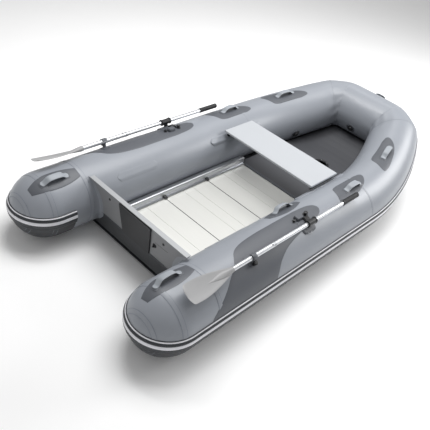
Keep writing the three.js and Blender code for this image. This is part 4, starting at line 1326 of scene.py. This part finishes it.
class DINGHY_OT_oarlocks(Group, bpy.types.Operator):
    """Oarlock blocks with their pins and toggles, and the clips that hold the stowed oars"""

    bl_idname = "dinghy.oarlocks"
    bl_label = "Oarlocks and clips"

    def make(self, sizes):
        self.block()
        self.toggle()
        self.clip()

    def block(self):
        def pad(u, v, height):
            corner = sqrt(1 - 0.28 * u ** 4)
            s = LOCK_S + 0.062 * u * sqrt(1 - 0.28 * v ** 4)
            return on_tube(tube_section(s), OAR_ANGLE + 13 * v * corner, height)

        base = plate(pad, 16, 12, 0.0062, 0.0006)
        dome = plate(lambda u, v, h: on_tube(tube_section(LOCK_S + 0.034 * u),
                                             OAR_ANGLE + 7 * v * sqrt(1 - 0.3 * u * u), h),
                     12, 8, 0.0095, 0.005)
        boss = lathe([(0.0175, 0.001), (0.017, 0.006), (0.0155, 0.0125), (0.0148, 0.0132),
                      (0.0072, 0.0134), (0.0070, 0.0210), (0.0062, 0.0232), (0.001, 0.0236)],
                     oar_point(LOCK_S, 0.0), OAR_UP, 40)
        both_sides("oarlock_block", joined(base, dome, boss), "grey_nylon", "lock_plastic",
                   ["{side}_oarlock_base"])

    def toggle(self):
        """A grey latch block inboard of the oarlock, with its black knobs."""
        def latch(u, v, height):
            where = tube_section(1.247 + 0.030 * u * sqrt(1 - 0.3 * v ** 4))
            return on_tube(where, 84.5 + 5.5 * v * sqrt(1 - 0.3 * u ** 4), height)

        block = plate(latch, 12, 10, 0.021, 0.0006)
        both_sides("oarlock_latch", block, "grey_nylon", "lock_plastic")
        knobs = []
        for s, angle, wide, tall in ((1.318, 84, 0.0135, 0.024), (1.198, 83, 0.0095, 0.017)):
            where = tube_section(s)
            foot = on_tube(where, angle, 0.0006)
            axis = outward(where, angle)
            knobs.append(lathe([(wide * 1.3, 0), (wide * 1.3, 0.002), (wide * 0.7, 0.004),
                                (wide * 0.6, tall * 0.5), (wide, tall * 0.62), (wide, tall * 0.9),
                                (wide * 0.7, tall), (wide * 0.1, tall)], foot, axis, 32))
        arm = plate(lambda u, v, h: on_tube(tube_section(1.288 + 0.024 * u), 75 + 5.5 * v, h),
                    8, 6, 0.019, 0.0006)
        both_sides("oarlock_knobs", joined(*knobs, arm), "black_nylon", "lock_plastic")
        self.loop()

    def loop(self):
        """A thin wire keeper that hangs outboard of the oarlock."""
        bends = [(1.236, 62.5), (1.228, 58), (1.236, 53.5), (1.250, 51.5), (1.266, 53),
                 (1.278, 57), (1.280, 62.5)]
        middles = []
        for i in range(31):
            t = 6 * i / 30
            s = smooth_through([(k, bend[0]) for k, bend in enumerate(bends)], t)
            angle = smooth_through([(k, bend[1]) for k, bend in enumerate(bends)], t)
            middles.append(on_tube(tube_section(s), angle, 0.0045))
        rows = []
        for i, middle in enumerate(middles):
            ahead = middles[min(30, i + 1)] - middles[max(0, i - 1)]
            ahead.normalize()
            side = ahead.cross(Vector((0, 0.53, 0.85))).normalized()
            up = side.cross(ahead)
            rows.append([middle + (side * cos(k * pi / 4) + up * sin(k * pi / 4)) * 0.0016
                         for k in range(8)])
        both_sides("oarlock_keeper", sweep(rows), "rail_metal", "lock_plastic")

    def clip(self):
        """A moulded hook open to the outboard side, on a stem and a foot."""
        inner, wall = SHAFT_R + 0.0012, 0.005
        turns = [radians(-78 + 246 * k / 24) for k in range(25)]
        rows = []
        for d, pull in ((-0.017, 0.0008), (-0.0155, 0), (0.0155, 0), (0.017, 0.0008)):
            outline = [(inner + pull, t) for t in turns]
            outline += [(inner + wall - pull, t) for t in reversed(turns)]
            rows.append([oar_point(CLIP_S + d, OAR_HEIGHT + reach * cos(t), -reach * sin(t))
                         for reach, t in outline])
        hook = sweep(rows)
        foot = plate(lambda u, v, h: on_tube(tube_section(CLIP_S + 0.026 * u),
                                             OAR_ANGLE + 8 * v * sqrt(1 - 0.3 * u ** 4), h),
                     10, 8, 0.0062, 0.0006)
        stem = lathe([(0.0125, 0.003), (0.0105, 0.008), (0.009, 0.014), (0.009, 0.0275)],
                     oar_point(CLIP_S, 0.0), OAR_UP, 28)
        both_sides("oar_clip_hook", joined(hook, foot, stem), "grey_nylon", "lock_plastic",
                   ["{side}_oar_clip"], sharp=40)
        where = tube_section(CLIP_S + 0.012)
        axis = outward(where, KNOB_ANGLE)
        knob = lathe([(0.013, 0), (0.013, 0.003), (0.009, 0.005), (0.009, 0.014), (0.0155, 0.017),
                      (0.0155, 0.026), (0.012, 0.0285), (0.001, 0.029)],
                     on_tube(where, KNOB_ANGLE, 0.0008), axis, 32)
        both_sides("oar_clip_knob", knob, "black_nylon", "lock_plastic")


# ---------- stage ----------

def soft_light(name, place, target, size, power):
    """A square softbox that faces a point."""
    lamp = bpy.data.lights.new(name, "AREA")
    lamp.shape = "RECTANGLE"
    lamp.size, lamp.size_y = size
    lamp.energy = power
    made = bpy.data.objects.new(name, lamp)
    bpy.context.scene.collection.objects.link(made)
    made.location = place
    made.rotation_euler = (Vector(target) - Vector(place)).to_track_quat("-Z", "Y").to_euler()


class DINGHY_OT_stage(Group, bpy.types.Operator):
    """Pale floor, soft studio light and the camera"""

    bl_idname = "dinghy.stage"
    bl_label = "Stage and camera"

    def make(self, sizes):
        scene = bpy.context.scene
        self.camera(scene)
        self.floor(scene)
        world = bpy.data.worlds.new("studio")
        world.use_nodes = True
        world.node_tree.nodes["Background"].inputs["Color"].default_value = (1, 1, 1, 1)
        world.node_tree.nodes["Background"].inputs["Strength"].default_value = WORLD_LIGHT
        scene.world = world
        soft_light("overhead_softbox", (0.5, 0.4, 4.2), (0.1, 0, 0), (3.6, 2.6), OVERHEAD_WATTS)
        soft_light("bow_softbox", (3.8, -1.9, 2.4), (0.6, -0.3, 0.3), (1.8, 1.8), BOW_WATTS)
        soft_light("strip_softbox", (-0.4, 1.5, 4.1), (1.2, 0, 0.4), (0.35, 1.6), STRIP_WATTS)
        soft_light("fore_softbox", (3.6, 1.5, 3.6), (0, 0.4, 0.3), (1.2, 0.8), FORE_WATTS)
        scene.view_settings.view_transform = "Standard"

    def camera(self, scene):
        yaw, drop, roll = (radians(a) for a in (CAMERA_YAW, CAMERA_DROP, CAMERA_ROLL))
        ahead = Vector((cos(yaw) * cos(drop), sin(yaw) * cos(drop), -sin(drop)))
        right = Vector((sin(yaw), -cos(yaw), 0))
        up = right.cross(ahead)
        turned_right = right * cos(roll) + up * sin(roll)
        turned_up = up * cos(roll) - right * sin(roll)
        lens = bpy.data.cameras.new("camera")
        lens.sensor_width = 36
        lens.lens = CAMERA_LENS
        camera = bpy.data.objects.new("camera", lens)
        scene.collection.objects.link(camera)
        turn = Matrix((turned_right, turned_up, -ahead)).transposed()
        camera.matrix_world = Matrix.Translation(CAMERA_PLACE) @ turn.to_4x4()
        scene.camera = camera

    def floor(self, scene):
        """A sheet of seamless paper that curves up far from the dinghy."""
        rows = []
        for r, z in ((0.01, 0), (6, 0), (9, 0), (10.5, 0.4), (11.5, 1.6), (12, 4)):
            rows.append([Vector((r * cos(t * pi / 36), r * sin(t * pi / 36), z - 0.0006))
                         for t in range(72)])
        points, faces = sweep(rows)
        mesh = bpy.data.meshes.new("studio_floor")
        mesh.from_pydata([tuple(p) for p in points], [], faces[:-1])
        mesh.materials.append(finish_of("paper"))
        mesh.shade_smooth()
        floor = bpy.data.objects.new("studio_floor", mesh)
        scene.collection.objects.link(floor)


# ---------- add-on ----------

BUILD_ORDER = (
    DINGHY_OT_stage, DINGHY_OT_tubes, DINGHY_OT_seams, DINGHY_OT_side_panels,
    DINGHY_OT_strakes, DINGHY_OT_transom, DINGHY_OT_bottom, DINGHY_OT_deck,
    DINGHY_OT_bench, DINGHY_OT_handles, DINGHY_OT_valves, DINGHY_OT_oars,
    DINGHY_OT_oarlocks,
)


class DINGHY_PT_panel(bpy.types.Panel):
    """Lists the pieces of the dinghy and the sizes and colours they take"""

    bl_idname = "DINGHY_PT_panel"
    bl_label = "Inflatable dinghy"
    bl_space_type = "VIEW_3D"
    bl_region_type = "UI"
    bl_category = "Dinghy"

    def draw(self, context):
        for group in (context.scene.dinghy_sizes, context.scene.dinghy_colours):
            box = self.layout.box()
            for name in group.__annotations__:
                box.prop(group, name)
        for operator in BUILD_ORDER:
            self.layout.operator(operator.bl_idname)


CLASSES = (DinghySizes, DinghyColours, *BUILD_ORDER, DINGHY_PT_panel)


def register():
    for cls in CLASSES:
        bpy.utils.register_class(cls)
    bpy.types.Scene.dinghy_sizes = bpy.props.PointerProperty(type=DinghySizes)
    bpy.types.Scene.dinghy_colours = bpy.props.PointerProperty(type=DinghyColours)


def unregister():
    del bpy.types.Scene.dinghy_colours
    del bpy.types.Scene.dinghy_sizes
    for cls in reversed(CLASSES):
        bpy.utils.unregister_class(cls)


def main():
    register()
    for operator in BUILD_ORDER:
        group, name = operator.bl_idname.split(".")
        getattr(getattr(bpy.ops, group), name)()
    bpy.context.view_layer.update()


if __name__ == "__main__":
    main()
